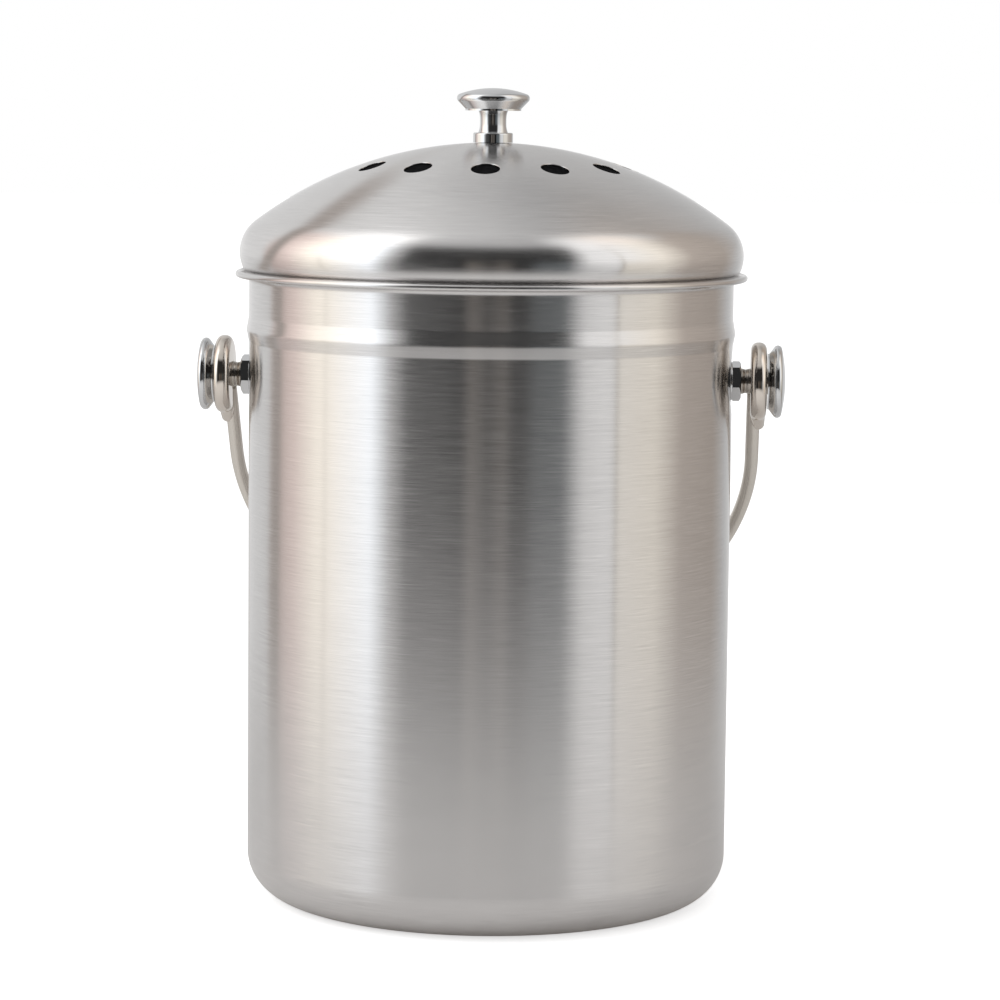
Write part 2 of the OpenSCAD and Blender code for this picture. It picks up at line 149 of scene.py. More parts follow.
MID_ROOM = [
    (-183, 0.64), (-165, 0.76), (-129, 0.86), (-121, 0.80, PINK), (-106, 1.20, PINK), (-90, 1.70, CREAM),
    (-58, 2.00, ICE), (-46, 0.60), (-38, 0.07), (-30, 0.03), (30, 0.03), (36, 0.10), (46, 1.10), (59.9, 1.16),
    (61.4, 0.80, CREAM), (62.9, 1.20), (84, 1.24, CREAM), (104, 0.60, SAND), (132, 0.50, SAND), (160, 0.54),
    (177, 0.62)]
HIGH_ROOM = [
    (-183, 0.53), (-172, 0.60), (-160, 0.74), (-129, 0.86), (-114, 1.20), (-64, 2.00), (-48, 0.76), (-20, 0.64),
    (30, 0.60), (54, 1.35), (90, 1.35, SAND), (112, 0.80), (130, 0.48, SAND), (160, 0.42), (177, 0.50)]
UPPER_ROWS = ((MID_ROOM, -2, 9), (HIGH_ROOM, 38, 53))  # marks, and the elevations where they begin and take over
print("marks", len(LOW_ROOM), len(MID_ROOM), len(HIGH_ROOM))


# %% Room: walls
def ramp(tree, share, marks):
    """A colour ramp once round the room."""
    node = add(tree, "ShaderNodeValToRGB", {"Fac": share})
    line = node.color_ramp.elements
    while len(line) < len(marks):
        line.new(0.5)
    for element, (angle, level, *tint) in zip(line, marks):
        element.position = (angle - ROOM_START) / 360
        element.color = [level * c for c in colour((*tint, WHITE)[0])[:3]] + [1.0]
    return node


world = bpy.data.worlds.new("studio")
bpy.context.scene.world = world
world.use_nodes = True
room = world.node_tree
room.nodes.clear()
gaze = add(room, "ShaderNodeTexCoord").outputs["Generated"]
part = add(room, "ShaderNodeSeparateXYZ", {0: gaze}).outputs
back_y = add(room, "ShaderNodeMath", {0: part["Y"], 1: -1.0}, operation="MULTIPLY")
heading = add(room, "ShaderNodeMath", {0: part["X"], 1: back_y}, operation="ARCTAN2")
share = add(room, "ShaderNodeMapRange", {"Value": heading, "From Min": -math.pi, "From Max": math.pi})
walls = ramp(room, share, LOW_ROOM)
for marks, begin, full in UPPER_ROWS:
    begin, full = math.sin(math.radians(begin)), math.sin(math.radians(full))
    lift = add(room, "ShaderNodeMapRange", {"Value": part["Z"], "From Min": begin, "From Max": full},
               interpolation_type="SMOOTHSTEP")
    walls = add(room, "ShaderNodeMix", {0: lift, TINT_A: walls, TINT_B: ramp(room, share, marks)}, data_type="RGBA")
print("wall nodes", len(room.nodes))

# %% [markdown]
# The room gets darker towards its floor. Overhead the walls give way to a pale ceiling, paler on the left. And
# between the backdrop and the left soft box there is a grey gap that bends in an arc, so it is painted at a fixed
# angle from one direction, on the left only. Matt pieces see none of this, just an even grey, and the camera
# itself sees white paper.

# %% Room: floor and ceiling
FLOOR_DIM, FLOOR_DEEP = 0.72, -0.30
CEILING_FROM, CEILING_FULL = math.sin(math.radians(58)), math.sin(math.radians(84))
CEILING_LEFT, CEILING_RIGHT, CEILING_HALF = 0.86, 0.52, 0.3
below = add(room, "ShaderNodeMapRange", {"Value": part["Z"], "From Min": FLOOR_DEEP, "From Max": 0.0,
                                         "To Min": FLOOR_DIM})
walls = add(room, "ShaderNodeMix", {0: 1.0, TINT_A: walls, TINT_B: below}, data_type="RGBA", blend_type="MULTIPLY")
top = add(room, "ShaderNodeMapRange", {"Value": part["Z"], "From Min": CEILING_FROM, "From Max": CEILING_FULL},
          interpolation_type="SMOOTHSTEP")
ceiling = add(room, "ShaderNodeMapRange", {"Value": part["X"], "From Min": -CEILING_HALF, "From Max": CEILING_HALF,
                                           "To Min": CEILING_LEFT, "To Max": CEILING_RIGHT})
shell = add(room, "ShaderNodeMix", {0: top, TINT_A: walls, TINT_B: ceiling}, data_type="RGBA")
print("walls, floor and ceiling", len(room.nodes), "nodes")

# %% Room: gap
GAP, GAP_ABOUT, GAP_AT, GAP_SOFT, GAP_CORE = (0.415, 0.375, 0.345, 1), (-0.70, 1.0, 0.23), 1.07, 0.075, 0.015
LEFT_FROM, LEFT_FULL = -0.20, -0.30
beside = add(room, "ShaderNodeVectorMath", {0: gaze, 1: GAP_ABOUT}, operation="DOT_PRODUCT")
off_arc = add(room, "ShaderNodeMath", {0: beside, 1: GAP_AT}, operation="SUBTRACT")
off_arc = add(room, "ShaderNodeMath", {0: off_arc}, operation="ABSOLUTE")
on_arc = add(room, "ShaderNodeMapRange", {"Value": off_arc, "From Min": GAP_SOFT, "From Max": GAP_CORE},
             interpolation_type="SMOOTHSTEP")
on_left = add(room, "ShaderNodeMapRange", {"Value": part["X"], "From Min": LEFT_FROM, "From Max": LEFT_FULL})
gap = add(room, "ShaderNodeMath", {0: on_arc, 1: on_left}, operation="MULTIPLY")
shell = add(room, "ShaderNodeMix", {0: gap, TINT_A: shell, TINT_B: GAP}, data_type="RGBA")
print("with the gap", len(room.nodes), "nodes")

# %% Room: who sees it
EVEN_ROOM = 0.75
ray = add(room, "ShaderNodeLightPath").outputs
seen = add(room, "ShaderNodeMix", {0: ray["Is Glossy Ray"], TINT_A: grey(EVEN_ROOM), TINT_B: shell}, data_type="RGBA")
bright = add(room, "ShaderNodeMix", {0: ray["Is Camera Ray"], TINT_A: seen, TINT_B: grey(1)}, data_type="RGBA")
sky = add(room, "ShaderNodeBackground", {"Color": bright, "Strength": 1.0})
add(room, "ShaderNodeOutputWorld", {"Surface": sky})
print("room nodes", len(room.nodes))

# %% [markdown]
# ## Lamp and table
# One large lamp above gives the matt pieces some shape and the pail its shadow; it is hidden from mirrors, which
# see the painted room instead. The table is a white round that fades out a few hand's breadths from the pail,
# so the reflection of the white table is strong near the foot of the wall and gone at the rim. Mirrors see it
# glow a little warm, which is painted light, and darker behind the pail, where less light falls, which is painted
# shade. The camera itself sees white paper everywhere.

# %% Lamp
def towards(angle, elevation):
    """A direction from the pail; angle 0 points at the camera and grows to its right."""
    a, e = YAW + math.radians(angle), math.radians(elevation)
    return Vector((math.sin(a) * math.cos(e), -math.cos(a) * math.cos(e), math.sin(e)))


LAMP_WAY, LAMP_AWAY, LAMP_SIDE, LAMP_LEVEL = towards(-72, 42), 1.5, 1.2, 1.3
light = bpy.data.lights.new("box_left", "AREA")
light.shape, light.size, light.size_y = "RECTANGLE", LAMP_SIDE, LAMP_SIDE
light.energy = LAMP_LEVEL * math.pi * LAMP_SIDE * LAMP_SIDE
lamp = show("box_left", light)
place = Vector((0, 0, 0.15)) + LAMP_WAY * LAMP_AWAY
lamp.matrix_world = Matrix.Translation(place) @ (-LAMP_WAY).to_track_quat("-Z", "Y").to_matrix().to_4x4()
lamp.visible_camera = lamp.visible_glossy = False
print("lamp at", [round(v, 2) for v in place], "radiance", LAMP_LEVEL)


# %% Materials: an empty one
def new_material(name):
    """A material and its tree, with nothing in it yet."""
    material = bpy.data.materials.new(name)
    material.use_nodes = True
    material.node_tree.nodes.clear()
    print("material", name)
    return material, material.node_tree


# %% Table paper
TABLE_FROM, TABLE_TO, BACK_FROM, BACK_TO = 0.36, 0.76, -0.20, 0.15
PAPER, PAPER_BEHIND, CAMERA_LIFT, GLOSSY_LIFT = 0.85, 0.63, 0.6, 0.07
cloth, paper = new_material("white_paper_table")
ray = add(paper, "ShaderNodeLightPath").outputs
glossy = ray["Is Glossy Ray"]
spot = add(paper, "ShaderNodeTexCoord").outputs["Object"]
away = add(paper, "ShaderNodeVectorMath", {0: spot}, operation="LENGTH")
reach = add(paper, "ShaderNodeMapRange", {"Value": away, "From Min": TABLE_FROM, "From Max": TABLE_TO},
            interpolation_type="SMOOTHSTEP")
gone = add(paper, "ShaderNodeMath", {0: reach, 1: glossy}, operation="MULTIPLY")
# Painted shade: for mirrors the paper darkens behind the pail, where less light falls.
depth = add(paper, "ShaderNodeSeparateXYZ", {0: spot}).outputs["Y"]
behind = add(paper, "ShaderNodeMapRange", {"Value": depth, "From Min": BACK_FROM, "From Max": BACK_TO})
dim = add(paper, "ShaderNodeMath", {0: behind, 1: glossy}, operation="MULTIPLY")
paint = add(paper, "ShaderNodeMix", {0: dim, TINT_A: grey(PAPER), TINT_B: grey(PAPER_BEHIND)}, data_type="RGBA")
matt = add(paper, "ShaderNodeBsdfDiffuse", {"Color": paint})
white = add(paper, "ShaderNodeMath", {0: ray["Is Camera Ray"], 1: CAMERA_LIFT}, operation="MULTIPLY")
# Painted light: mirrors see the paper glow a little, warm, on top of its matt colour.
lift = add(paper, "ShaderNodeMath", {0: glossy, 1: GLOSSY_LIFT, 2: white}, operation="MULTIPLY_ADD")
hue = add(paper, "ShaderNodeMix", {0: glossy, TINT_A: grey(1), TINT_B: colour("#ffeee0")}, data_type="RGBA")
glow = add(paper, "ShaderNodeEmission", {"Color": hue, "Strength": lift})
lit = add(paper, "ShaderNodeAddShader", {0: matt, 1: glow})
clear = add(paper, "ShaderNodeBsdfTransparent")
faded = add(paper, "ShaderNodeMixShader", {0: gone, 1: lit, 2: clear})
add(paper, "ShaderNodeOutputMaterial", {"Surface": faded})
print("table nodes", len(paper.nodes))

# %% Table
FLOOR_HALF = 9
corners = [(FLOOR_HALF * x, FLOOR_HALF * y, 0) for x, y in ((-1, -1), (1, -1), (1, 1), (-1, 1))]
floor_mesh = bpy.data.meshes.new("floor")
floor_mesh.from_pydata(corners, [], [range(4)])
floor_mesh.materials.append(cloth)
floor = show("floor", floor_mesh)
print("table drawn as a floor", 2 * FLOOR_HALF, "m wide")

# %% [markdown]
# ## Brushed steel
# Stainless sheet that was held against a turning abrasive belt. The lines run round the bucket and round the
# lid's knob, and each one spreads the light across itself, so a highlight is drawn out up and down the wall but
# stays narrow from side to side. That is what Anisotropic does, and its tangent here is simply the direction
# round the axis. The lines come from noise that is stretched: about 15 mm long round the axis, and a third of a
# millimetre across. Real lines are finer still, but would then vanish between the pixels. What shows is less
# their colour than their gloss, so the same noise drives the roughness.

# %% Materials: how a tree ends
def shade(tree, **inputs):
    """The shader comes last: each input is a constant, or the node that feeds it."""
    named = {key.replace("_", " "): value for key, value in inputs.items()}
    add(tree, "ShaderNodeOutputMaterial", {"Surface": add(tree, "ShaderNodeBsdfPrincipled", named)})


def marked(tree, pattern, spread, rough, strength, depth_mm):
    """Inputs for the shader: roughness that follows the pattern's spread, and the same pattern as fine relief."""
    gloss = add(tree, "ShaderNodeMapRange", {"Value": pattern, "From Min": spread[0], "From Max": spread[1],
                                             "To Min": rough[0], "To Max": rough[1]})
    relief = add(tree, "ShaderNodeBump", {"Height": pattern, "Strength": strength, "Distance": depth_mm * MM})
    return {"Roughness": gloss, "Normal": relief}


# %% Materials: lines turned about the axis
def turned_noise(tree, around, across_mm, detail=2.0):
    """Noise stretched round Z: around counts the features in a radian, across_mm is the width of one."""
    place = add(tree, "ShaderNodeTexCoord").outputs["Object"]
    flat = add(tree, "ShaderNodeVectorMath", {0: place, 1: (1, 1, 0)}, operation="MULTIPLY")
    radius = add(tree, "ShaderNodeVectorMath", {0: flat}, operation="LENGTH")
    heading = add(tree, "ShaderNodeVectorMath", {0: flat}, operation="NORMALIZE")
    wide = add(tree, "ShaderNodeVectorMath", {0: heading, "Scale": around}, operation="SCALE")
    height = add(tree, "ShaderNodeSeparateXYZ", {0: place}).outputs["Z"]
    run = add(tree, "ShaderNodeMath", {0: height, 1: radius}, operation="SUBTRACT")
    fine = add(tree, "ShaderNodeMath", {0: run, 1: 1 / (across_mm * MM)}, operation="MULTIPLY")
    lift = add(tree, "ShaderNodeCombineXYZ", {"Z": fine})
    spot = add(tree, "ShaderNodeVectorMath", {0: wide, 1: lift}, operation="ADD")
    return add(tree, "ShaderNodeTexNoise", {"Vector": spot, "Scale": 1.0, "Detail": detail, "Roughness": 0.65})


LINES_ROUND, LINE_MM, PRESS_ROUND, PRESS_MM = 5.0, 0.32, 16.0, 0.8


def strokes(tree):
    """Straight lines round the axis, fading in and out along their length, as fractions about a half."""
    ruled = turned_noise(tree, LINES_ROUND, LINE_MM)
    worn = turned_noise(tree, PRESS_ROUND, PRESS_MM)
    press = add(tree, "ShaderNodeMapRange", {"Value": worn, "From Min": 0.35, "From Max": 0.68,
                                             "To Min": 0.15, "To Max": 1.5})
    off = add(tree, "ShaderNodeMath", {0: ruled, 1: 0.5}, operation="SUBTRACT")
    return add(tree, "ShaderNodeMath", {0: off, 1: press, 2: 0.5}, operation="MULTIPLY_ADD")


print("a line:", round(math.degrees(1 / LINES_ROUND)), "degrees of the turn long,", LINE_MM, "mm across")

# %% Brushed steel
CLOUDS_ROUND, CLOUD_MM, CLOUD_SHARE, CONTRAST = 3.0, 9.0, 0.18, 0.20


def brushed_steel(name, dark, light, roughness):
    material, tree = new_material(name)
    lines = strokes(tree)
    clouds = turned_noise(tree, CLOUDS_ROUND, CLOUD_MM, detail=3.0)
    mixed = add(tree, "ShaderNodeMix", {0: CLOUD_SHARE, 2: lines, 3: clouds}, data_type="FLOAT")
    tint = add(tree, "ShaderNodeValToRGB", {"Fac": mixed})
    low, high = tint.color_ramp.elements
    low.position, high.position = 0.5 - CONTRAST, 0.5 + CONTRAST
    low.color, high.color = colour(dark), colour(light)
    scratched = marked(tree, lines, (0.40, 0.66), (roughness, roughness + 0.04), strength=0.5, depth_mm=0.0003)
    place = add(tree, "ShaderNodeTexCoord").outputs["Object"]
    round_axis = add(tree, "ShaderNodeVectorMath", {0: (0, 0, 1), 1: place}, operation="CROSS_PRODUCT")
    shade(tree, Metallic=1.0, Anisotropic=1.0, Anisotropic_Rotation=0.25, Base_Color=tint, Tangent=round_axis,
          **scratched)
    return material


BODY_STEEL = brushed_steel("stainless_steel_belt_brushed", "#cecccb", "#dedcdb", 0.190)
LID_STEEL = brushed_steel("stainless_steel_spun_brushed", "#d3d1d0", "#e4e2e1", 0.160)
print("brushed steel nodes", len(BODY_STEEL.node_tree.nodes))

# %% [markdown]
# ## Chrome and plain plating
# The knobs and nuts are zinc and steel under bright chromium. A polished plate is close to a mirror; what
# gives it away as a real part is a slight haze where fingers and polishing left it uneven, so its roughness
# drifts over a few millimetres. The bail's eyes stop at the layer below, bright nickel, which is a little warmer.

# %% Chrome
def plated(name, tone, low, high, patch_mm):
    material, tree = new_material(name)
    place = add(tree, "ShaderNodeTexCoord").outputs["Object"]
    haze = add(tree, "ShaderNodeTexNoise", {"Vector": place, "Scale": 1 / (patch_mm * MM), "Detail": 4.0,
                                            "Roughness": 0.65})
    uneven = marked(tree, haze, (0.3, 0.75), (low, high), strength=0.25, depth_mm=0.002)
    shade(tree, Metallic=1.0, Base_Color=colour(tone), **uneven)
    return material


CHROME = plated("zinc_die_cast_chromed", "#d7d8d9", 0.02, 0.06, 5)
NICKEL = plated("zinc_die_cast_nickel_plated", "#dcd4cb", 0.02, 0.06, 5)
PLATE = plated("steel_turned_nickel_plated", "#aea8a0", 0.12, 0.22, 4)
print("plating nodes", len(CHROME.node_tree.nodes))

# %% [markdown]
# ## Drawn wire
# The bail is stainless wire, pulled through a die and bent. The die leaves faint lines along the wire, and the
# bow keeps a satin shine. The sweep that makes the wire stores how far along and how far round each point is,
# and the material reads those two numbers.

# %% Drawn wire
ALONG_SCALE, AROUND_SCALE = 30.0, 40.0
WIRE, tree = new_material("stainless_wire_drawn")
along = add(tree, "ShaderNodeAttribute", attribute_name="along").outputs["Fac"]
around = add(tree, "ShaderNodeAttribute", attribute_name="around").outputs["Fac"]
along = add(tree, "ShaderNodeMath", {0: along, 1: ALONG_SCALE}, operation="MULTIPLY")
around = add(tree, "ShaderNodeMath", {0: around, 1: AROUND_SCALE}, operation="MULTIPLY")
spot = add(tree, "ShaderNodeCombineXYZ", {"X": along, "Y": around})
draw = add(tree, "ShaderNodeTexNoise", {"Vector": spot, "Scale": 1.0, "Detail": 3.0, "Roughness": 0.6})
tint = add(tree, "ShaderNodeMix", {0: draw, TINT_A: colour("#dad4cb"), TINT_B: colour("#f0ebe3")}, data_type="RGBA")
shade(tree, Metallic=1.0, Base_Color=tint, **marked(tree, draw, (0.3, 0.7), (0.24, 0.36), strength=0.4, depth_mm=0.01))
print("wire nodes", len(tree.nodes))

# %% [markdown]
# ## Moulded tray and charcoal felt
# The filter tray is black ABS with the fine grain of a spark-eroded mould. The filters are polyester felt full of
# activated charcoal: a dull black mat of fibres with pits between them, and no shine at all.

# %% Tray plastic
GRAIN_MM, SHEEN_MM = 0.45, 14
TRAY_ABS, tree = new_material("abs_moulded_matt_grain")
place = add(tree, "ShaderNodeTexCoord").outputs["Object"]
grain = add(tree, "ShaderNodeTexVoronoi", {"Vector": place, "Scale": 1 / (GRAIN_MM * MM)})
cloud = add(tree, "ShaderNodeTexNoise", {"Vector": place, "Scale": 1 / (SHEEN_MM * MM), "Detail": 3.0})
gloss = add(tree, "ShaderNodeMapRange", {"Value": cloud, "From Min": 0.3, "From Max": 0.7,
                                         "To Min": 0.44, "To Max": 0.56})
pebble = add(tree, "ShaderNodeBump", {"Height": grain, "Strength": 0.35, "Distance": 0.03 * MM})
shade(tree, Base_Color=colour("#242426"), IOR=1.54, Roughness=gloss, Normal=pebble)
print("tray plastic nodes", len(tree.nodes))

# %% Charcoal felt
FIBRE_MM, PIT_MM = 0.9, 2.2
FELT, tree = new_material("polyester_felt_charcoal_filled")
place = add(tree, "ShaderNodeTexCoord").outputs["Object"]
fibres = add(tree, "ShaderNodeTexNoise", {"Vector": place, "Scale": 1 / (FIBRE_MM * MM), "Detail": 6.0,
                                          "Roughness": 0.75, "Distortion": 1.5})
pits = add(tree, "ShaderNodeTexVoronoi", {"Vector": place, "Scale": 1 / (PIT_MM * MM), "Randomness": 1.0})
nap = add(tree, "ShaderNodeMath", {0: fibres, 1: pits}, operation="MULTIPLY")
tint = add(tree, "ShaderNodeValToRGB", {"Fac": nap})
low, high = tint.color_ramp.elements
low.color, high.color, high.position = colour("#040405"), colour("#19191b"), 0.55
rough = add(tree, "ShaderNodeBump", {"Height": nap, "Strength": 0.8, "Distance": 0.5 * MM})
shade(tree, Roughness=0.95, Specular_IOR_Level=0.05, Base_Color=tint, Normal=rough)
print("felt nodes", len(tree.nodes))

# %% [markdown]
# ## Profiles
# Nearly every piece is round, so it is drawn as half of its section: a list of radii and heights in millimetres.
# An arc is cut into steps short enough that its chords stay within a hundredth of a millimetre. Smooth shading
# would bend the light on a long flat where it meets an arc, so each flat gets a point close to both its ends.

# %% Profile helpers
CHORD_MM = 0.01


def arc(centre, radius, start, end, step=6.0):
    step = min(step, 2 * math.degrees(math.acos(1 - min(0.5, CHORD_MM / radius))))
    count = max(2, math.ceil(abs(end - start) / step))
    angles = [math.radians(start + (end - start) * i / count) for i in range(count + 1)]
    return [(centre[0] + radius * math.cos(a), centre[1] + radius * math.sin(a)) for a in angles]


def ease(u):
    return (1 - math.cos(math.pi * u)) / 2


def between(a, b, share):
    return tuple(p + (q - p) * share for p, q in zip(a, b))


def held(points, near=0.25, long=2.0):
    """The same line, with a point close to each end of every long flat."""
    line = [points[0]]
    for a, b in zip(points, points[1:]):
        length = math.dist(a, b)
        if length > long:
            line += [between(a, b, near / length), between(a, b, 1 - near / length)]
        if length > 1e-6:
            line.append(b)
    return line


def closed(points):
    return [*points, points[0]]


print("points in a quarter of a 16 mm corner:", len(arc((0, 0), 16, -90, 0)))

# %% [markdown]
# ## Turning with Geometry Nodes
# A lathe turns a profile about an axis. This tree does the same: it makes a grid with one column for each step of
# the turn and one row for each point of the profile, looks up the profile's point for its row, and moves it
# round by the angle of its column. Merging by distance then closes the seam and the poles. A Screw modifier could
# also do it, but the tree keeps the number of steps as a named input and ends with the material.

# %% Begin and end a tree
def new_tree(name, **sockets):
    """A geometry tree with these named inputs."""
    tree = bpy.data.node_groups.new(name, "GeometryNodeTree")
    tree.interface.new_socket("Geometry", in_out="INPUT", socket_type="NodeSocketGeometry")
    for key, kind in (sockets | {"Material": "Material"}).items():
        tree.interface.new_socket(key.replace("_", " "), in_out="INPUT", socket_type="NodeSocket" + kind)
    tree.interface.new_socket("Geometry", in_out="OUTPUT", socket_type="NodeSocketGeometry")
    return tree, add(tree, "NodeGroupInput").outputs


def end_tree(tree, given, geometry):
    """Every tree ends the same way: real geometry, smooth, with its material."""
    real = add(tree, "GeometryNodeRealizeInstances", {"Geometry": geometry})
    whole = add(tree, "GeometryNodeMergeByDistance", {"Geometry": real, "Distance": 0.002 * MM})
    smooth = add(tree, "GeometryNodeSetShadeSmooth", {"Geometry": whole, "Shade Smooth": True})
    dressed = add(tree, "GeometryNodeSetMaterial", {"Geometry": smooth, "Material": given["Material"]})
    add(tree, "NodeGroupOutput", {0: dressed})
    print(tree.name, "nodes", len(tree.nodes))


# %% The lathe
LATHE, given = new_tree("lathe", Steps="Int")
rows = add(LATHE, "GeometryNodeAttributeDomainSize", {"Geometry": given["Geometry"]})
columns = add(LATHE, "ShaderNodeMath", {0: given["Steps"], 1: 1.0}, operation="ADD")
grid = add(LATHE, "GeometryNodeMeshGrid", {"Vertices X": columns, "Vertices Y": rows})
index = add(LATHE, "GeometryNodeInputIndex")
row = add(LATHE, "ShaderNodeMath", {0: index, 1: rows}, operation="MODULO")
column = add(LATHE, "ShaderNodeMath", {0: index, 1: rows}, operation="DIVIDE")
column = add(LATHE, "ShaderNodeMath", {0: column}, operation="FLOOR")
place = add(LATHE, "GeometryNodeInputPosition")
point = add(LATHE, "GeometryNodeSampleIndex", {"Geometry": given["Geometry"], "Value": place, "Index": row},
            data_type="FLOAT_VECTOR")
part = add(LATHE, "ShaderNodeSeparateXYZ", {0: point}).outputs
share = add(LATHE, "ShaderNodeMath", {0: column, 1: given["Steps"]}, operation="DIVIDE")
angle = add(LATHE, "ShaderNodeMath", {0: share, 1: 2 * math.pi}, operation="MULTIPLY")
x = add(LATHE, "ShaderNodeMath", {0: angle}, operation="COSINE")
x = add(LATHE, "ShaderNodeMath", {0: part["X"], 1: x}, operation="MULTIPLY")
y = add(LATHE, "ShaderNodeMath", {0: angle}, operation="SINE")
y = add(LATHE, "ShaderNodeMath", {0: part["X"], 1: y}, operation="MULTIPLY")
spot = add(LATHE, "ShaderNodeCombineXYZ", {"X": x, "Y": y, "Z": part["Z"]})
end_tree(LATHE, given, add(LATHE, "GeometryNodeSetPosition", {"Geometry": grid, "Position": spot}))


# %% Run trees and keep a plain mesh
def run_trees(name, points, material, *steps, faces=None):
    """Puts points in millimetres, in a line unless faces are given, through trees, each with its inputs."""
    edges = [(i, i + 1) for i in range(len(points) - 1)] if faces is None else []
    start = bpy.data.meshes.new(name)
    start.from_pydata([Vector(p) * MM for p in points], edges, faces or [])
    obj = show(name, start)
    for tree, sizes in steps:
        values = sizes | {"Material": material}
        modifier = obj.modifiers.new(tree.name, "NODES")
        modifier.node_group = tree
        for socket in tree.interface.items_tree:
            if socket.in_out == "INPUT" and socket.name in values:
                modifier[socket.identifier] = values[socket.name]
    graph = bpy.context.evaluated_depsgraph_get()
    plain = bpy.data.meshes.new_from_object(obj.evaluated_get(graph), preserve_all_data_layers=True, depsgraph=graph)
    obj.modifiers.clear()
    obj.data = plain
    print(name, "grew from", len(points), "to", len(plain.vertices), "points")
    return obj


def lathe(name, profile, material, steps=96, place=None, then=()):
    """Turns a profile; more trees may follow, and then the piece is moved to its place."""
    line = [(r, 0, z) for r, z in held(profile)]
    obj = run_trees(name, line, material, (LATHE, {"Steps": steps}), *then)
    if place:
        obj.data.transform(place)
    return obj


# %% [markdown]
# ## Handing a piece over
# A finished piece is checked before it rides on its body: every edge has two faces, and the volume is positive,
# so no face looks inwards. Edges sharper than a set angle stay crisp, and the rest are smooth.

# %% Finish a piece
def hand_over(obj, body, nodes, crisp=32):
    obj.data.set_sharp_from_angle(angle=math.radians(crisp))
    shape = bmesh.new()
    shape.from_mesh(obj.data)
    open_edges = sum(not e.is_manifold for e in shape.edges)
    volume = shape.calc_volume(signed=True) / MM**3
    triangles = sum(len(f.verts) - 2 for f in shape.faces)
    shape.free()
    print(f"{obj.name}: {triangles} triangles, {open_edges} open edges, {volume:.0f} mm3")
    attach(obj, body)
    if nodes:
        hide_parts(*nodes)


def both_sides(right, body, crisp=32):
    """A right piece and its mirrored twin. A piece is named for its node, and then for how it was made."""
    left = show(right.name.replace("right", "left"), right.data.copy())
    left.data.transform(Matrix.Scale(-1, 4, (1, 0, 0)))
    left.data.flip_normals()  # the mirror turned its faces inwards
    for piece in (right, left):
        hand_over(piece, body, [piece.name.rpartition("_")[0]], crisp)


# %% [markdown]
# ## Bucket
# The bucket is deep-drawn from one sheet. Its profile runs from the middle of the base, over the flat ring that it
# stands on, up the wall and the swaged bead, out over the ledge and round the rolled edge, then back down the
# inside at a distance of one sheet. After the lathe a second tree presses a flat into the wall for each pivot,
# as the punch does: only points inside the punch's circle move, and only inwards.

# %% Bucket profile
BODY_R, SHEET, CORNER_R, BASE_RISE, RING_IN, RING_SLOPE = 86.6, 0.6, 16, 1.5, 61.6, 4
WALL_FOOT, PRESS_FOOT, PRESS_ROWS, PRESS_STEP = 96, 174.9, 32, 0.8
BEND, BEND_R, ROLL, ROLL_R, ROLL_TURN = (88.6, 221.4), 2, (90.4, 224.3), 1.1, (-125.1, 195.8)
BEAD_Z = 204.5
BEAD = [(0, -4.7), (0.006, -4.5), (0.03, -4.25), (0.08, -4.0), (0.42, -2.3), (0.74, -0.7), (0.80, -0.35), (0.83, 0),
        (0.81, 0.35), (0.75, 0.7), (0.42, 2.6), (0.08, 4.5), (0.03, 4.8), (0.006, 5.05), (0, 5.3)]


def bucket_side(inset):
    """One side of the sheet, from the base's middle to the ledge, with close rows where the flats are pressed."""
    wall = BODY_R - inset
    line = [(0, BASE_RISE + inset)]
    line += [(RING_IN + RING_SLOPE * i / 10, inset + BASE_RISE * (1 - ease(i / 10))) for i in range(11)]
    line += arc((BODY_R - CORNER_R, CORNER_R), CORNER_R - inset, -90, 0) + [(wall, WALL_FOOT)]
    line += [(wall, PRESS_FOOT + PRESS_STEP * i) for i in range(PRESS_ROWS)]
    return line + [(wall + out, BEAD_Z + up) for out, up in BEAD] + arc(BEND, BEND_R + inset, 180, 90)


bucket_line = bucket_side(0) + arc(ROLL, ROLL_R, *ROLL_TURN, step=10) + bucket_side(SHEET)[::-1]
print("bucket profile", len(bucket_line), "points")

# %% Flats: how far inside the punch a point is
PRESS, given = new_tree("press_flats", Punch_radius="Float", Flat_at="Float", Height="Float", Wall_radius="Float",
                        Blend="Float")
place = add(PRESS, "GeometryNodeInputPosition")
part = add(PRESS, "ShaderNodeSeparateXYZ", {0: place}).outputs
drop = add(PRESS, "ShaderNodeMath", {0: part["Z"], 1: given["Height"]}, operation="SUBTRACT")
offset = add(PRESS, "ShaderNodeCombineXYZ", {"Y": part["Y"], "Z": drop})
from_axis = add(PRESS, "ShaderNodeVectorMath", {0: offset}, operation="LENGTH")
edge_out = add(PRESS, "ShaderNodeMath", {0: given["Punch radius"], 1: given["Blend"]}, operation="ADD")
edge_in = add(PRESS, "ShaderNodeMath", {0: given["Punch radius"], 1: given["Blend"]}, operation="SUBTRACT")
punched = add(PRESS, "ShaderNodeMapRange", {"Value": from_axis, "From Min": edge_out, "From Max": edge_in},
              interpolation_type="SMOOTHSTEP")

# %% Flats: how far in it moves
flat = add(PRESS, "ShaderNodeVectorMath", {0: place, 1: (1, 1, 0)}, operation="MULTIPLY")
radius = add(PRESS, "ShaderNodeVectorMath", {0: flat}, operation="LENGTH")
depth = add(PRESS, "ShaderNodeMath", {0: given["Wall radius"], 1: radius}, operation="SUBTRACT")
goal = add(PRESS, "ShaderNodeMath", {0: given["Flat at"], 1: depth}, operation="SUBTRACT")
size = add(PRESS, "ShaderNodeMath", {0: part["X"]}, operation="ABSOLUTE")
blend = add(PRESS, "ShaderNodeMix", {0: punched, 2: size, 3: goal}, data_type="FLOAT")
lower = add(PRESS, "ShaderNodeMath", {0: size, 1: blend}, operation="MINIMUM")
side = add(PRESS, "ShaderNodeMath", {0: part["X"]}, operation="SIGN")
new_x = add(PRESS, "ShaderNodeMath", {0: lower, 1: side}, operation="MULTIPLY")
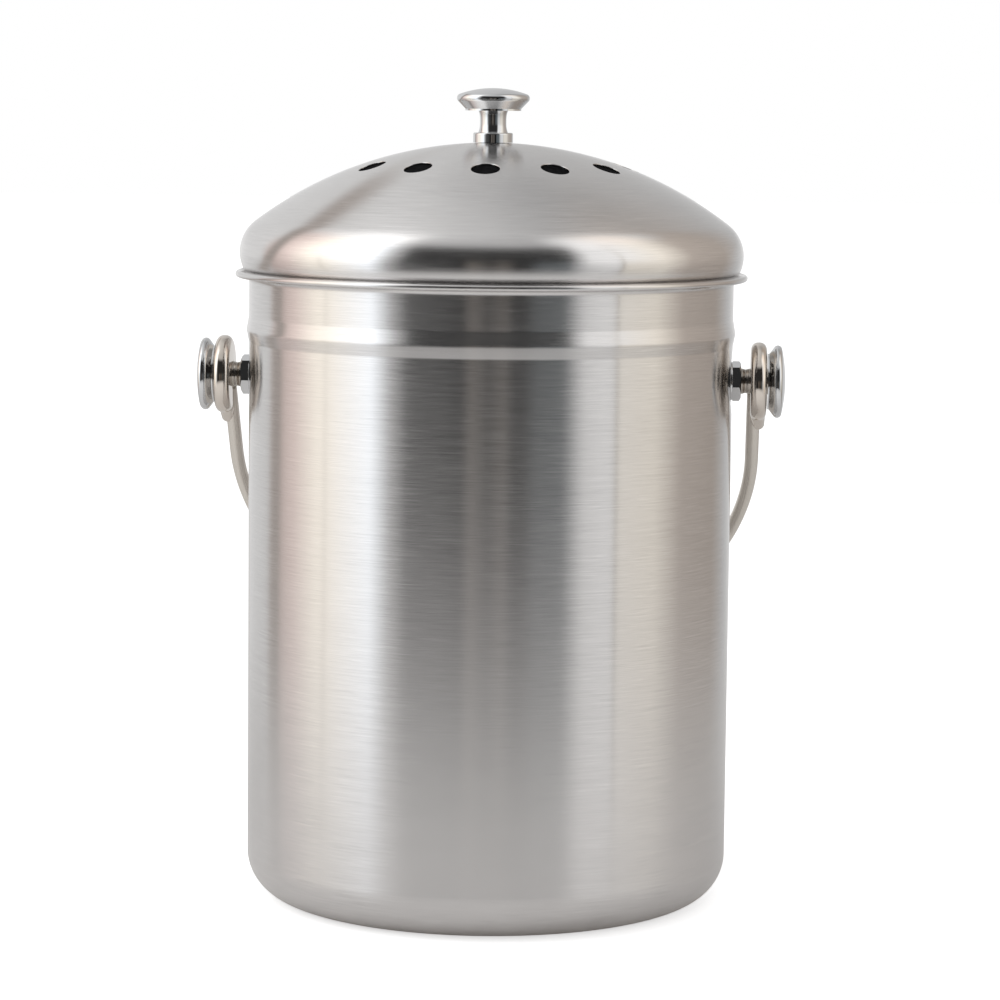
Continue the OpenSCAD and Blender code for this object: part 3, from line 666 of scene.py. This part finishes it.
spot = add(PRESS, "ShaderNodeCombineXYZ", {"X": new_x, "Y": part["Y"], "Z": part["Z"]})
end_tree(PRESS, given, add(PRESS, "GeometryNodeSetPosition", {"Geometry": given["Geometry"], "Position": spot}))

# %% Bucket
PIVOT_Z, SEAT_X, SEAT_R, SEAT_BLEND = 187.5, 85.9, 11.0, 0.6
press = {"Punch radius": SEAT_R * MM, "Flat at": SEAT_X * MM, "Height": PIVOT_Z * MM, "Wall radius": BODY_R * MM,
         "Blend": SEAT_BLEND * MM}
bucket = lathe("bucket", bucket_line, BODY_STEEL, steps=280, then=[(PRESS, press)])
hand_over(bucket, "bucket", ["bucket_shell"])

# %% [markdown]
# ## Lid
# The lid is spun from sheet: a shallow crown, a tight shoulder and a curl at the foot. Twelve round vents are
# punched through the crown. Cutting holes with a Boolean leaves long thin faces that spoil a shiny surface, so
# one slice of the lid is built with its hole already in the mesh: rings of faces run from the hole out to a
# square patch. A tree then repeats the slice round the axis, and merges the twelve into one shell.

# %% Lid section
CROWN_R, SHOULDER, SHOULDER_R, LID_FOOT, LID_IN, HEM_R = 140.0, (76.0, 232.0), 14.0, 224.3, 85.9, 1.2
crown_angle = math.degrees(math.acos(SHOULDER[0] / (CROWN_R - SHOULDER_R)))
crown_z = SHOULDER[1] - math.sqrt((CROWN_R - SHOULDER_R) ** 2 - SHOULDER[0] ** 2)
hem_angle = math.degrees(math.asin((HEM_R - (SHOULDER[1] - LID_FOOT)) / (SHOULDER_R - HEM_R)))
hem = (SHOULDER[0] + (SHOULDER_R - HEM_R) * math.cos(math.radians(hem_angle)),
       SHOULDER[1] + (SHOULDER_R - HEM_R) * math.sin(math.radians(hem_angle)))
print("crown centre", round(crown_z, 2), "hem", [round(v, 2) for v in hem])

# %% Rings round a vent
VENTS, VENT_R, VENT_RING, COLUMNS, PATCH_ROWS = 12, 5.0, 47.5, 14, 10
HALF_SLICE, HALF_PATCH, VENT_TILT = math.pi / VENTS, math.radians(4.3), math.asin(VENT_RING / CROWN_R)
CENTRE, SIDEWAYS = Vector((0, 0, crown_z)), Vector((0, 1, 0))
AXIS = Vector((math.sin(VENT_TILT), 0, math.cos(VENT_TILT)))
UPWARD = AXIS.cross(SIDEWAYS)


def border_way(u, v):
    """A direction from the crown's centre to the patch's border; u and v run from -1 to 1."""
    tilt, spin = VENT_TILT - HALF_PATCH * v, HALF_SLICE * u
    return Vector((math.sin(tilt) * math.cos(spin), math.sin(tilt) * math.sin(spin), math.cos(tilt)))


border = [border_way(2 * i / COLUMNS - 1, -1) for i in range(COLUMNS)]
border += [border_way(1, 2 * i / PATCH_ROWS - 1) for i in range(PATCH_ROWS)]
border += [border_way(1 - 2 * i / COLUMNS, 1) for i in range(COLUMNS)]
border += [border_way(-1, 1 - 2 * i / PATCH_ROWS) for i in range(PATCH_ROWS)]


def hole_ring(radius, sphere):
    """Points at this radius from the vent's axis, on a sphere about the crown's centre."""
    ring, tilt = [], math.asin(radius / sphere)
    for way in border:
        spin = math.atan2(way.dot(UPWARD), way.dot(SIDEWAYS))
        out = math.cos(spin) * SIDEWAYS + math.sin(spin) * UPWARD
        ring.append(sphere * (math.cos(tilt) * AXIS + math.sin(tilt) * out) + CENTRE)
    return ring


def patch_rings(radius, sphere):
    """Rings on the sphere from the patch's border in to the hole."""
    ways = [(p - CENTRE).normalized() for p in hole_ring(radius, sphere)]
    return [[CENTRE + sphere * way.lerp(edge, share).normalized() for way, edge in zip(ways, border)]
            for share in (1.0, 0.72, 0.48, 0.28, 0.13, 0.05)]


print("border", len(border), "points; vent tilt", round(math.degrees(VENT_TILT), 2))

# %% Faces of a slice
slice_verts, slice_faces = [], []


def add_sheet(rows):
    """Faces between neighbouring rows of points."""
    first, width = len(slice_verts), len(rows[0])
    slice_verts.extend(tuple(p) for row in rows for p in row)
    for a in (first + j * width + i for j in range(len(rows) - 1) for i in range(width - 1)):
        slice_faces.append((a, a + 1, a + width + 1, a + width))


def add_turned(line):
    """The same for a profile, turned through the slice's angle."""
    spread = [HALF_SLICE * (2 * i / COLUMNS - 1) for i in range(COLUMNS + 1)]
    add_sheet([[(r * math.cos(a), r * math.sin(a), z) for a in spread] for r, z in line[::-1]])


# %% The slice's patch and vent
LIP_OUT, LIP_IN = 0.22, 0.1  # how far the punch rounds the vent's two edges
inner_r = CROWN_R - SHEET
rings = patch_rings(VENT_R + LIP_OUT, CROWN_R)
for a in map(math.radians, range(0, 91, 15)):
    rings.append(hole_ring(VENT_R + LIP_OUT * (1 - math.sin(a)), CROWN_R - LIP_OUT * (1 - math.cos(a))))
for a in map(math.radians, range(0, 91, 30)):
    rings.append(hole_ring(VENT_R + LIP_IN * (1 - math.cos(a)), inner_r + LIP_IN * (1 - math.sin(a))))
rings += patch_rings(VENT_R + LIP_IN, inner_r)[::-1]
add_sheet([closed(ring) for ring in rings])
print("rings", len(rings))

# %% The rest of the slice
# The middle of the crown, the way down outside and back up inside, and the middle again
low, high = 90 - math.degrees(VENT_TILT - HALF_PATCH), 90 - math.degrees(VENT_TILT + HALF_PATCH)
foot = arc((0, crown_z), CROWN_R, high, crown_angle, step=1.5)
foot += arc(SHOULDER, SHOULDER_R, crown_angle, hem_angle, step=4)[1:]
foot += arc(hem, HEM_R, hem_angle, -90, step=12)[1:] + [(LID_IN, LID_FOOT), (LID_IN, LID_FOOT + SHEET)]
back = arc(hem, HEM_R - SHEET, -90, hem_angle, step=12)
back += arc(SHOULDER, SHOULDER_R - SHEET, hem_angle, crown_angle, step=4)[1:]
back += arc((0, crown_z), inner_r, crown_angle, high, step=1.5)[1:]
add_turned(arc((0, crown_z), CROWN_R, 90, low, step=1.5))
add_turned(foot + back)
add_turned(arc((0, crown_z), inner_r, low, 90, step=1.5))
print("slice", len(slice_verts), "points", len(slice_faces), "faces")

# %% Repeat the slice round the axis
WHEEL, given = new_tree("repeat_round_axis", Copies="Int", Start_angle="Float")
spots = add(WHEEL, "GeometryNodeMeshLine", {"Count": given["Copies"], "Offset": (0, 0, 0)})
number = add(WHEEL, "GeometryNodeInputIndex")
share = add(WHEEL, "ShaderNodeMath", {0: number, 1: given["Copies"]}, operation="DIVIDE")
spin = add(WHEEL, "ShaderNodeMath", {0: share, 1: 2 * math.pi}, operation="MULTIPLY")
begin = add(WHEEL, "ShaderNodeMath", {0: spin, 1: given["Start angle"]}, operation="ADD")
turn_by = add(WHEEL, "ShaderNodeCombineXYZ", {"Z": begin})
end_tree(WHEEL, given, add(WHEEL, "GeometryNodeInstanceOnPoints", {
    "Points": spots, "Instance": given["Geometry"], "Rotation": turn_by}))

dome = run_trees("lid_shell", slice_verts, LID_STEEL, (WHEEL, {"Copies": VENTS, "Start angle": -math.pi / 2}),
                 faces=slice_faces)
hand_over(dome, "lid", ["lid_dome"])

# %% [markdown]
# ## Painted shade behind the vents
# Behind the vents lies a thin dark ring in the same charcoal felt material, laid up against the underside of the
# crown, so each vent looks black: it is painted shade, standing for the dark inside of the lid. Its profile is two
# arcs about the crown's own centre, a millimetre apart.

# %% Painted vent shade
SHADE_RING_IN, SHADE_RING_OUT, SHADE_RING_T, SHADE_RING_GAP = 8.0, 56.0, 1.0, 0.1
shade_ring_top = CROWN_R - SHEET - SHADE_RING_GAP


def crown_arc(radius, first, last, count=24):
    spread = [first + (last - first) * i / count for i in range(count + 1)]
    return [(r, crown_z + math.sqrt(radius**2 - r**2)) for r in spread]


shade_ring_line = crown_arc(shade_ring_top - SHADE_RING_T, SHADE_RING_IN, SHADE_RING_OUT) + crown_arc(shade_ring_top, SHADE_RING_OUT, SHADE_RING_IN)
# Painted shade: a dark ring in the felt material stands for the shade inside the lid, behind the vents.
painted_vent_shade = lathe("vent_felt_ring", closed(shade_ring_line), FELT, steps=160)
hand_over(painted_vent_shade, "lid", [])

# %% [markdown]
# ## Skirt
# A ring of thinner sheet under the lid centres it in the bucket's mouth. Its flange is spot-welded inside the
# lid's hem. It is a closed section, so the profile ends where it began.

# %% Skirt
SKIRT_R, SKIRT_T, SKIRT_BEND, SKIRT_H, FLANGE_IN = 85.2, 0.5, 0.7, 10, 0.2
skirt_top, flange_r, skirt_in = LID_FOOT + SHEET, hem[0] - FLANGE_IN, SKIRT_R - SKIRT_T
bend = (SKIRT_R + SKIRT_BEND, skirt_top - SKIRT_BEND)
skirt_line = [(flange_r, skirt_top)] + arc(bend, SKIRT_BEND, 90, 180)
skirt_line += [(SKIRT_R, LID_FOOT - SKIRT_H), (skirt_in, LID_FOOT - SKIRT_H)]
skirt_line += arc(bend, SKIRT_BEND + SKIRT_T, 180, 90) + [(flange_r, skirt_top + SKIRT_T)]
skirt = lathe("lid_skirt_ring", closed(skirt_line)[::-1], LID_STEEL, steps=240)
hand_over(skirt, "lid", ["lid_skirt"])

# %% [markdown]
# ## Knobs
# The lid's knob and the two pivot knobs are one family: a domed head with a rounded rim, tapering in to a smaller
# flat underneath. The lid's knob adds a waisted neck and a collar. They are turned on the lathe like the rest.

# %% Knob head profile
HEAD_R, HEAD_BASE_R, HEAD_EDGE, RIM_SHARE, STEP_SHARE = 13, 10, 1.6, 0.55, 0.08


def head_line(thick):
    """From the edge of the flat below, round the rim, to the top of the dome."""
    edge_c = (HEAD_R - HEAD_EDGE, RIM_SHARE * thick)
    rise = thick - edge_c[1]
    dome_r = (edge_c[0] ** 2 + rise**2 - HEAD_EDGE**2) / (2 * (rise - HEAD_EDGE))
    dome_angle = math.degrees(math.atan2(edge_c[1] - (thick - dome_r), edge_c[0]))
    step = (HEAD_BASE_R, STEP_SHARE * thick)
    away = (step[0] - edge_c[0], step[1] - edge_c[1])
    taper = math.degrees(math.atan2(away[1], away[0]) + math.acos(HEAD_EDGE / math.hypot(*away)))
    line = [(HEAD_BASE_R, 0), step] + arc(edge_c, HEAD_EDGE, taper, dome_angle)
    return line + arc((0, thick - dome_r), dome_r, dome_angle, 90, step=3)[1:]


def raised(line, lift):
    return [(r, z + lift) for r, z in line]


print("a head 8 mm thick has", len(head_line(8)), "points")

# %% Lid knob and collar
COLLAR_Z, NECK_Z, NECK_R, NECK_FLARE, HEAD_Z = 271.5, 275.0, 4.7, 0.6, 282.8
COLLAR_R, COLLAR_ROUND, SCREW_R = 7.1, 0.6, 2.75
neck = [(NECK_R + NECK_FLARE * abs(i / 12 - 1) ** 3, NECK_Z + (HEAD_Z - NECK_Z) * i / 24) for i in range(25)]
knob = lathe("lid_knob_turned", [(0, NECK_Z)] + neck + raised(head_line(8), HEAD_Z), CHROME, steps=128)
hand_over(knob, "lid", ["lid_knob"])
collar_line = [(SCREW_R, COLLAR_Z), (COLLAR_R, COLLAR_Z)]
collar_line += arc((COLLAR_R - COLLAR_ROUND, NECK_Z - COLLAR_ROUND), COLLAR_ROUND, 0, 90) + [(SCREW_R, NECK_Z)]
hand_over(lathe("knob_collar_turned", closed(collar_line), CHROME), "lid", ["knob_collar"])

# %% Pivot knobs, with their studs
def on_axis(x):
    """Lays a piece made along Z along X instead, on the bail's axis."""
    return Matrix.Translation((x * MM, 0, PIVOT_Z * MM)) @ Matrix.Rotation(math.pi / 2, 4, "Y")


HEAD_X, STUD_END, STUD_R, STUD_CUT = 99.2, 78.5, 3.0, 0.4
stud = [(0, 0), (STUD_R - STUD_CUT, 0), (STUD_R, STUD_CUT), (STUD_R, HEAD_X - STUD_END)]
knob_line = raised(stud, STUD_END - HEAD_X) + head_line(6.4)
knob = lathe("right_pivot_knob_turned", knob_line, CHROME, steps=128, place=on_axis(HEAD_X))
both_sides(knob, "bucket")

# %% [markdown]
# ## Pivot hardware
# Between each knob and the wall lie a waisted sleeve, a hexagon nut and a washer, and inside the bucket a second
# washer and a cap nut. A nut's corners are cut by a cone, which leaves a curved edge on each flat, so its
# mesh is computed: for each direction, the height where the flat meets the cone.

# %% Hexagon nuts
CONE, ROUND_SHARE = 0.577, 0.98  # the cone's slope, and how far out the round end face reaches on a flat


def hexagon_rows(flats, section, turn=0.0, sides=96):
    """Rows of points round Z; section gives (radius, height) from the hexagon's reach there and its cut."""
    rows = []
    for a in (2 * math.pi * i / sides for i in range(sides)):
        reach = flats / 2 / math.cos((a + math.pi / 6) % (math.pi / 3) - math.pi / 6)
        cut = CONE * max(0.0, reach - ROUND_SHARE * flats / 2)
        rows.append([(r * math.cos(a + turn), r * math.sin(a + turn), z) for r, z in section(reach, cut)])
    return rows


def faces_round(rows, join_ends=True):
    """Faces from each row of points to the next, and from the last row to the first."""
    count, width = len(rows), len(rows[0])
    corners = ((0, 0), (1, 0), (1, 1), (0, 1))
    return [tuple((i + di) % count * width + (j + dj) % width for di, dj in corners)
            for i in range(count) for j in range(width if join_ends else width - 1)]


def plain_piece(name, verts, faces, material, place):
    mesh = bpy.data.meshes.new(name)
    mesh.from_pydata([Vector(v) * MM for v in verts], [], faces)
    mesh.transform(place)
    mesh.polygons.foreach_set("use_smooth", [True] * len(mesh.polygons))
    mesh.materials.append(material)
    return show(name, mesh)


# %% Lock nuts
NUT_FLATS, NUT_T, NUT_X, BORE_R = 12.6, 3.0, 86.7, 3.05


def nut_section(reach, cut):
    face_r = ROUND_SHARE * NUT_FLATS / 2
    return [(BORE_R, 0), (reach - 0.02, 0), (reach, 0.02), (reach, NUT_T - cut), (face_r, NUT_T), (BORE_R, NUT_T)]


rows = hexagon_rows(NUT_FLATS, nut_section, turn=math.radians(14))
nut = plain_piece("right_lock_nut_turned", [p for row in rows for p in row], faces_round(rows), CHROME, on_axis(NUT_X))
both_sides(nut, "bucket", 20)

# %% Sleeves and washers
SLEEVE_X, SLEEVE_R, SLEEVE_L, WAIST, WAIST_FROM, WAIST_L = NUT_X + NUT_T, 4.55, 9.5, 0.3, 0.3, 2.6
waist = [(SLEEVE_R - WAIST * ease(1 - abs(i / 8 - 1)), WAIST_FROM + WAIST_L * i / 16) for i in range(17)]
sleeve_line = [(BORE_R, 0), (SLEEVE_R - 0.1, 0), (SLEEVE_R, 0.1)] + waist + [(SLEEVE_R, SLEEVE_L), (BORE_R, SLEEVE_L)]
sleeve = lathe("right_sleeve_turned", closed(sleeve_line), PLATE, place=on_axis(SLEEVE_X))
both_sides(sleeve, "bucket")


def washer_line(outer_d, bore_r, thick, edge=0.15):
    outer_r = outer_d / 2 - edge
    line = [(bore_r, 0), (outer_r, 0)] + arc((outer_r, edge), edge, -90, 0, 30)[1:]
    return closed(line + arc((outer_r, thick - edge), edge, 0, 90, 30) + [(bore_r, thick)])


WASHER_BORE_R, WASHER_T, INNER_X = 3.25, 0.8, 84.5
for kind, outer_d, x, material, slot in (("outer", 13.6, SEAT_X, CHROME, "chrome"),
                                         ("inner", 14.0, INNER_X, PLATE, "plated_steel")):
    line = washer_line(outer_d, WASHER_BORE_R, WASHER_T)
    both_sides(lathe(f"right_{kind}_washer_turned", line, material, place=on_axis(x)), "bucket")

# %% [markdown]
# ## Bail wire
# One wire, two straight legs and a bow whose arcs run into each other without a kink. The line is the piece's own
# mesh, and the tree sweeps a circle along it. It also stores how far along and how far round each point of the
# surface is, which the drawn-wire material reads.

# %% Sweep a wire
SWEEP, given = new_tree("sweep_wire", Wire_radius="Float", Sides="Int")
path = add(SWEEP, "GeometryNodeMeshToCurve", {"Mesh": given["Geometry"]})
along = add(SWEEP, "GeometryNodeSplineParameter").outputs["Length"]
path = add(SWEEP, "GeometryNodeStoreNamedAttribute", {"Geometry": path, "Name": "along", "Value": along},
           data_type="FLOAT", domain="POINT")
ring = add(SWEEP, "GeometryNodeCurvePrimitiveCircle", {"Resolution": given["Sides"], "Radius": given["Wire radius"]})
around = add(SWEEP, "GeometryNodeSplineParameter").outputs["Factor"]
around = add(SWEEP, "ShaderNodeMath", {0: around, 1: math.pi}, operation="MULTIPLY")
around = add(SWEEP, "ShaderNodeMath", {0: around}, operation="SINE")
ring = add(SWEEP, "GeometryNodeStoreNamedAttribute", {"Geometry": ring, "Name": "around", "Value": around},
           data_type="FLOAT", domain="POINT")
end_tree(SWEEP, given, add(SWEEP, "GeometryNodeCurveToMesh", {"Curve": path, "Profile Curve": ring, "Fill Caps": True}))

# %% Bail wire
WIRE_R, WIRE_X, WIRE_TOP, LEG, REACH, REST_GAP = 2.45, 94.5, 5.8, 38.0, 142.0, 0.3
SIDE_C, END_C = 1.5 * (REACH - LEG - WIRE_X), 2 * (REACH - LEG - WIRE_X)
bail_lean = math.asin((BODY_R + REST_GAP + WIRE_R) / REACH)
bail_place = Matrix.Translation((0, 0, PIVOT_Z * MM)) @ Matrix.Rotation(bail_lean, 4, "X")
half = [(WIRE_X, -WIRE_TOP - (LEG - WIRE_TOP) * i / 20) for i in range(20)]
corner = math.degrees(math.atan2(END_C, SIDE_C))
half += arc((-SIDE_C, -LEG), WIRE_X + SIDE_C, 0, -corner, step=1.5)[:-1]
half += arc((0, -LEG - END_C), REACH - LEG - END_C, -corner, -90, step=1.5)
wire_line = [(x, 0, z) for x, z in half + [(-x, z) for x, z in half[-2::-1]]]
wire = run_trees("bail_wire_swept", wire_line, WIRE, (SWEEP, {"Wire radius": WIRE_R * MM, "Sides": 32}))
wire.data.transform(bail_place)
hand_over(wire, "bail", ["bail_wire"])

# %% [markdown]
# ## Bail eyes
# Each end of the wire is cast into a thick round eye with a socket below it, like a wheel with a tongue. A union of
# a disc and a cone would leave a hard crease, so the outline is drawn instead, once round the wheel and the
# tongue with a fillet where they meet. At each point of the outline one closed section runs from the bore out
# to the rim and back, and the faces join the sections in a ring.

# %% Eye outline
EYE_IN, EYE_T, EYE_R, EYE_ROUND, EYE_BORE_R = 92.9, 6.0, 14.0, 2.6, 4.6
TONGUE_ROOT, TONGUE_TIP, TONGUE_REACH, FILLET = 9.0, 2.45, 23.2, 3.0


def at_angle(radius, angle, side=0.0, down=0.0):
    """A point about (side, down), at an angle from straight down."""
    a = math.radians(angle)
    return (side + radius * math.sin(a), down + radius * math.cos(a))


def eye_outline():
    """Half of the outline, from the tip of the tongue up to the top, as (side, down, angle of the normal)."""
    tip_down = TONGUE_REACH - TONGUE_TIP
    flank = math.degrees(math.acos((TONGUE_ROOT - TONGUE_TIP) / tip_down))
    side, down = at_angle(1, flank)
    level = TONGUE_ROOT + FILLET
    slide = math.sqrt((EYE_R + FILLET) ** 2 - level**2)
    hub = (level * side - slide * down, level * down + slide * side)
    start, end = at_angle(TONGUE_TIP, flank, 0, tip_down), at_angle(-FILLET, flank, *hub)
    leave = math.degrees(math.atan2(*hub))
    spots = [(*at_angle(TONGUE_TIP, a, 0, tip_down), a) for a in (flank * i / 10 for i in range(11))]
    spots += [(*between(start, end, i / 14), flank) for i in range(1, 14)]
    spots += [(*at_angle(-FILLET, a, *hub), a) for a in (flank + (leave - flank) * i / 12 for i in range(13))]
    return spots + [(*at_angle(EYE_R, a), a) for a in (leave + (180 - leave) * i / 52 for i in range(1, 53))]


half_outline = eye_outline()
outline = half_outline + [(-a, b, -c) for a, b, c in half_outline[-2:0:-1]]
print("eye outline", len(outline), "points")

# %% Eye section
LIP, TONGUE_FROM, TONGUE_THIN_IN, TONGUE_THIN_OUT = 0.35, 14, 0.9, 0.2
QUARTER, FACE_SHARES = [math.radians(a) for a in (0, 30, 60, 90)], (0.08, 0.35, 0.65, 0.85, 0.96)


def eye_section(side, down, normal):
    """One closed section in millimetres, in the upright bail: X along the pivot, Y sideways, Z up."""
    n = at_angle(1, normal)
    rim = min(EYE_ROUND, TONGUE_TIP - 0.1) if down > TONGUE_FROM else EYE_ROUND
    out = max(0.0, min(1.0, (math.hypot(side, down) - EYE_R + 2) / (TONGUE_REACH - EYE_R)))
    top = EYE_IN + EYE_T
    low, high = EYE_IN + TONGUE_THIN_IN * out, top - TONGUE_THIN_OUT * out
    inner = (side - rim * n[0], down - rim * n[1])
    away = math.hypot(*inner)
    bore, lip = [(r * inner[0] / away, r * inner[1] / away) for r in (EYE_BORE_R, EYE_BORE_R + LIP)]
    at = [(*between(bore, lip, 1 - math.cos(t)), EYE_IN + LIP * (1 - math.sin(t))) for t in QUARTER]
    at += [(*between(lip, inner, u), EYE_IN + (low - EYE_IN) * u) for u in FACE_SHARES]
    for t in (math.radians(-90 + 180 * i / 16) for i in range(17)):
        middle, spread = low + rim if t < 0 else high - rim, rim * math.cos(t)
        at.append((inner[0] + spread * n[0], inner[1] + spread * n[1], middle + rim * math.sin(t)))
    at += [(*between(lip, inner, u), top + (high - top) * u) for u in FACE_SHARES[::-1]]
    at += [(*between(bore, lip, 1 - math.cos(t)), top - LIP * (1 - math.sin(t))) for t in QUARTER[::-1]]
    return [(x, y, -z) for y, z, x in at]


# %% Eyes
sections = [eye_section(*spot) for spot in outline]
eye_verts = [p for row in sections for p in row]
eye = plain_piece("right_bail_eye_cast", eye_verts, faces_round(sections), NICKEL, bail_place)
both_sides(eye, "bail", 50)

# %% [markdown]
# ## Inside the bucket and under the lid
# These pieces show only when the lid is off: a domed cap nut on each stud, the washer under the knob's screw, the
# filter tray, and the two charcoal filters in it.

# %% Cap nuts
CAP_FLATS, CAP_T, CAP_DOME_R, CAP_DEEP, CAP_X = 10, 5, 4.4, 3.2, 79.5


def cap_section(reach, cut):
    """The dome, the flats from height 0 to the open end, and the bore."""
    spots = [(CAP_DOME_R * math.sin(t), -CAP_DOME_R * math.cos(t)) for t in map(math.radians, range(6, 85, 6))]
    spots += [(CAP_DOME_R, 0.02), (0.97 * CAP_FLATS / 2, 0.03), (reach, cut + 0.05), (reach, CAP_T - 0.1)]
    return spots + [(reach - 0.1, CAP_T), (BORE_R, CAP_T), (BORE_R, CAP_T - CAP_DEEP)]


rows = hexagon_rows(CAP_FLATS, cap_section)
count, width = len(rows), len(rows[0])
cap_verts = [p for row in rows for p in row] + [(0, 0, -CAP_DOME_R), (0, 0, CAP_T - CAP_DEEP)]
cap_faces = faces_round(rows, join_ends=False)
for here, there in ((i * width, (i + 1) % count * width) for i in range(count)):
    cap_faces += [(count * width, there, here), (count * width + 1, here + width - 1, there + width - 1)]
cap_nut = plain_piece("right_cap_nut_turned", cap_verts, cap_faces, PLATE, on_axis(CAP_X))
both_sides(cap_nut, "bucket", 25)

# %% Washer under the knob's screw
WASHER_D = 13
washer_low, washer_high = [corner[2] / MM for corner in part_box("knob_washer")]
line = raised(washer_line(WASHER_D, SCREW_R, washer_high - washer_low), washer_low)
hand_over(lathe("knob_washer_pressed", line, PLATE), "lid", ["knob_washer"])

# %% [markdown]
# ## Filter tray
# The tray is moulded in one shot: a floor with 37 round holes and a wall round it. The holes repeat, so a tree
# does them. It puts a circle at each hole's centre, fills the space between them and the rim, and gives the
# filled sheet its thickness.

# %% Punched floor
PUNCH, given = new_tree("punched_disc", Rim_radius="Float", Hole_radius="Float", Thickness="Float")
hole = add(PUNCH, "GeometryNodeCurvePrimitiveCircle", {"Resolution": 40, "Radius": given["Hole radius"]})
holes = add(PUNCH, "GeometryNodeInstanceOnPoints", {"Points": given["Geometry"], "Instance": hole})
holes = add(PUNCH, "GeometryNodeRealizeInstances", {"Geometry": holes})
rim = add(PUNCH, "GeometryNodeCurvePrimitiveCircle", {"Resolution": 240, "Radius": given["Rim radius"]})
drawn = add(PUNCH, "GeometryNodeJoinGeometry", {0: [holes, rim]})
filled = add(PUNCH, "GeometryNodeFillCurve", {"Curve": drawn})
rise = add(PUNCH, "ShaderNodeCombineXYZ", {"Z": 1.0})
thick = add(PUNCH, "GeometryNodeExtrudeMesh", {"Mesh": filled, "Offset": rise, "Offset Scale": given["Thickness"],
                                               "Individual": False})
under = add(PUNCH, "GeometryNodeFlipFaces", {"Mesh": filled})
end_tree(PUNCH, given, add(PUNCH, "GeometryNodeJoinGeometry", {0: [thick, under]}))

# %% Tray
TRAY_Z, TRAY_FLOOR, TRAY_LIP, TRAY_R, TRAY_WALL, TRAY_H, TRAY_ROUND = 212.4, 1.6, 85.0, 84.35, 1.4, 8.0, 0.4
HOLE_R, HOLE_APART, OVERLAP = 7.5, 22.0, 0.2
centres = [(0, 0, 0)]
for ring in (1, 2, 3):
    for a in (math.radians(60 * i / ring) for i in range(6 * ring)):
        centres.append((ring * HOLE_APART * math.cos(a), ring * HOLE_APART * math.sin(a), 0))
punch = {"Rim radius": (TRAY_LIP - 0.02) * MM, "Hole radius": HOLE_R * MM, "Thickness": TRAY_FLOOR * MM}
tray_floor = run_trees("tray_floor_moulded", centres, TRAY_ABS, (PUNCH, punch), faces=[])
tray_floor.data.transform(Matrix.Translation((0, 0, TRAY_Z * MM)))
hand_over(tray_floor, "filter_holder", ["filter_tray"])

wall_foot, wall_top, wall_in = TRAY_Z + TRAY_FLOOR - OVERLAP, TRAY_Z + TRAY_FLOOR + TRAY_H, TRAY_R - TRAY_WALL
wall_line = [(wall_in, wall_foot), (TRAY_R, wall_foot)]
wall_line += arc((TRAY_R - TRAY_ROUND, wall_top - TRAY_ROUND), TRAY_ROUND, 0, 90, 30)
wall_line += arc((wall_in + TRAY_ROUND, wall_top - TRAY_ROUND), TRAY_ROUND, 90, 180, 30)
tray_wall = lathe("tray_wall_moulded", closed(wall_line), TRAY_ABS, steps=240)
hand_over(tray_wall, "filter_holder", ["filter_tray"])

# %% [markdown]
# ## Charcoal filters
# Two discs of felt, cut with a die and dropped into the tray one on the other. Felt never lies quite flat, so the
# discs are turned first and a second tree then lets the faces rise and fall by a fraction of a millimetre.

# %% Let felt wave
FELT_WAVES, given = new_tree("felt_waves", Height="Float", Across="Float", Seed="Float")
place = add(FELT_WAVES, "GeometryNodeInputPosition")
often = add(FELT_WAVES, "ShaderNodeMath", {0: 1.0, 1: given["Across"]}, operation="DIVIDE")
wave = add(FELT_WAVES, "ShaderNodeTexNoise", {"Vector": place, "W": given["Seed"], "Scale": often, "Detail": 2.0},
           noise_dimensions="4D")
away = add(FELT_WAVES, "ShaderNodeMath", {0: wave, 1: given["Height"]}, operation="MULTIPLY")
inward = add(FELT_WAVES, "ShaderNodeMath", {0: away, 1: -1.0}, operation="MULTIPLY")
facing = add(FELT_WAVES, "GeometryNodeInputNormal")
shift = add(FELT_WAVES, "ShaderNodeVectorMath", {0: facing, "Scale": inward}, operation="SCALE")
end_tree(FELT_WAVES, given, add(FELT_WAVES, "GeometryNodeSetPosition", {
    "Geometry": given["Geometry"], "Offset": shift}))

# %% Filters
FILTER_R, FILTER_T, FILTER_FOOT, FILTER_ROUND, FILTER_GAP = 82.55, 3.6, 214.0, 1.1, 0.02
for number, name in enumerate(("lower_filter", "upper_filter")):
    foot, head = FILTER_FOOT + number * FILTER_T + FILTER_GAP, FILTER_FOOT + (number + 1) * FILTER_T - FILTER_GAP
    line = [(2.0 * i, foot) for i in range(41)]
    line += arc((FILTER_R - FILTER_ROUND, foot + FILTER_ROUND), FILTER_ROUND, -90, 0, 15)
    line += arc((FILTER_R - FILTER_ROUND, head - FILTER_ROUND), FILTER_ROUND, 0, 90, 15)
    line += [(2.0 * i, head) for i in range(40, -1, -1)]
    waves = {"Height": 0.3 * MM, "Across": 9 * MM, "Seed": 3.0 + number}
    disc = lathe(name + "_felt", line, FELT, steps=200, then=[(FELT_WAVES, waves)])
    hand_over(disc, "filter_holder", [name], 60)

# %% Plate the screw, which stays as the CAD made it
screw_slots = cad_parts["knob_screw"].material_slots
for slot in screw_slots:
    slot.material = PLATE
print("screw slots", len(screw_slots))
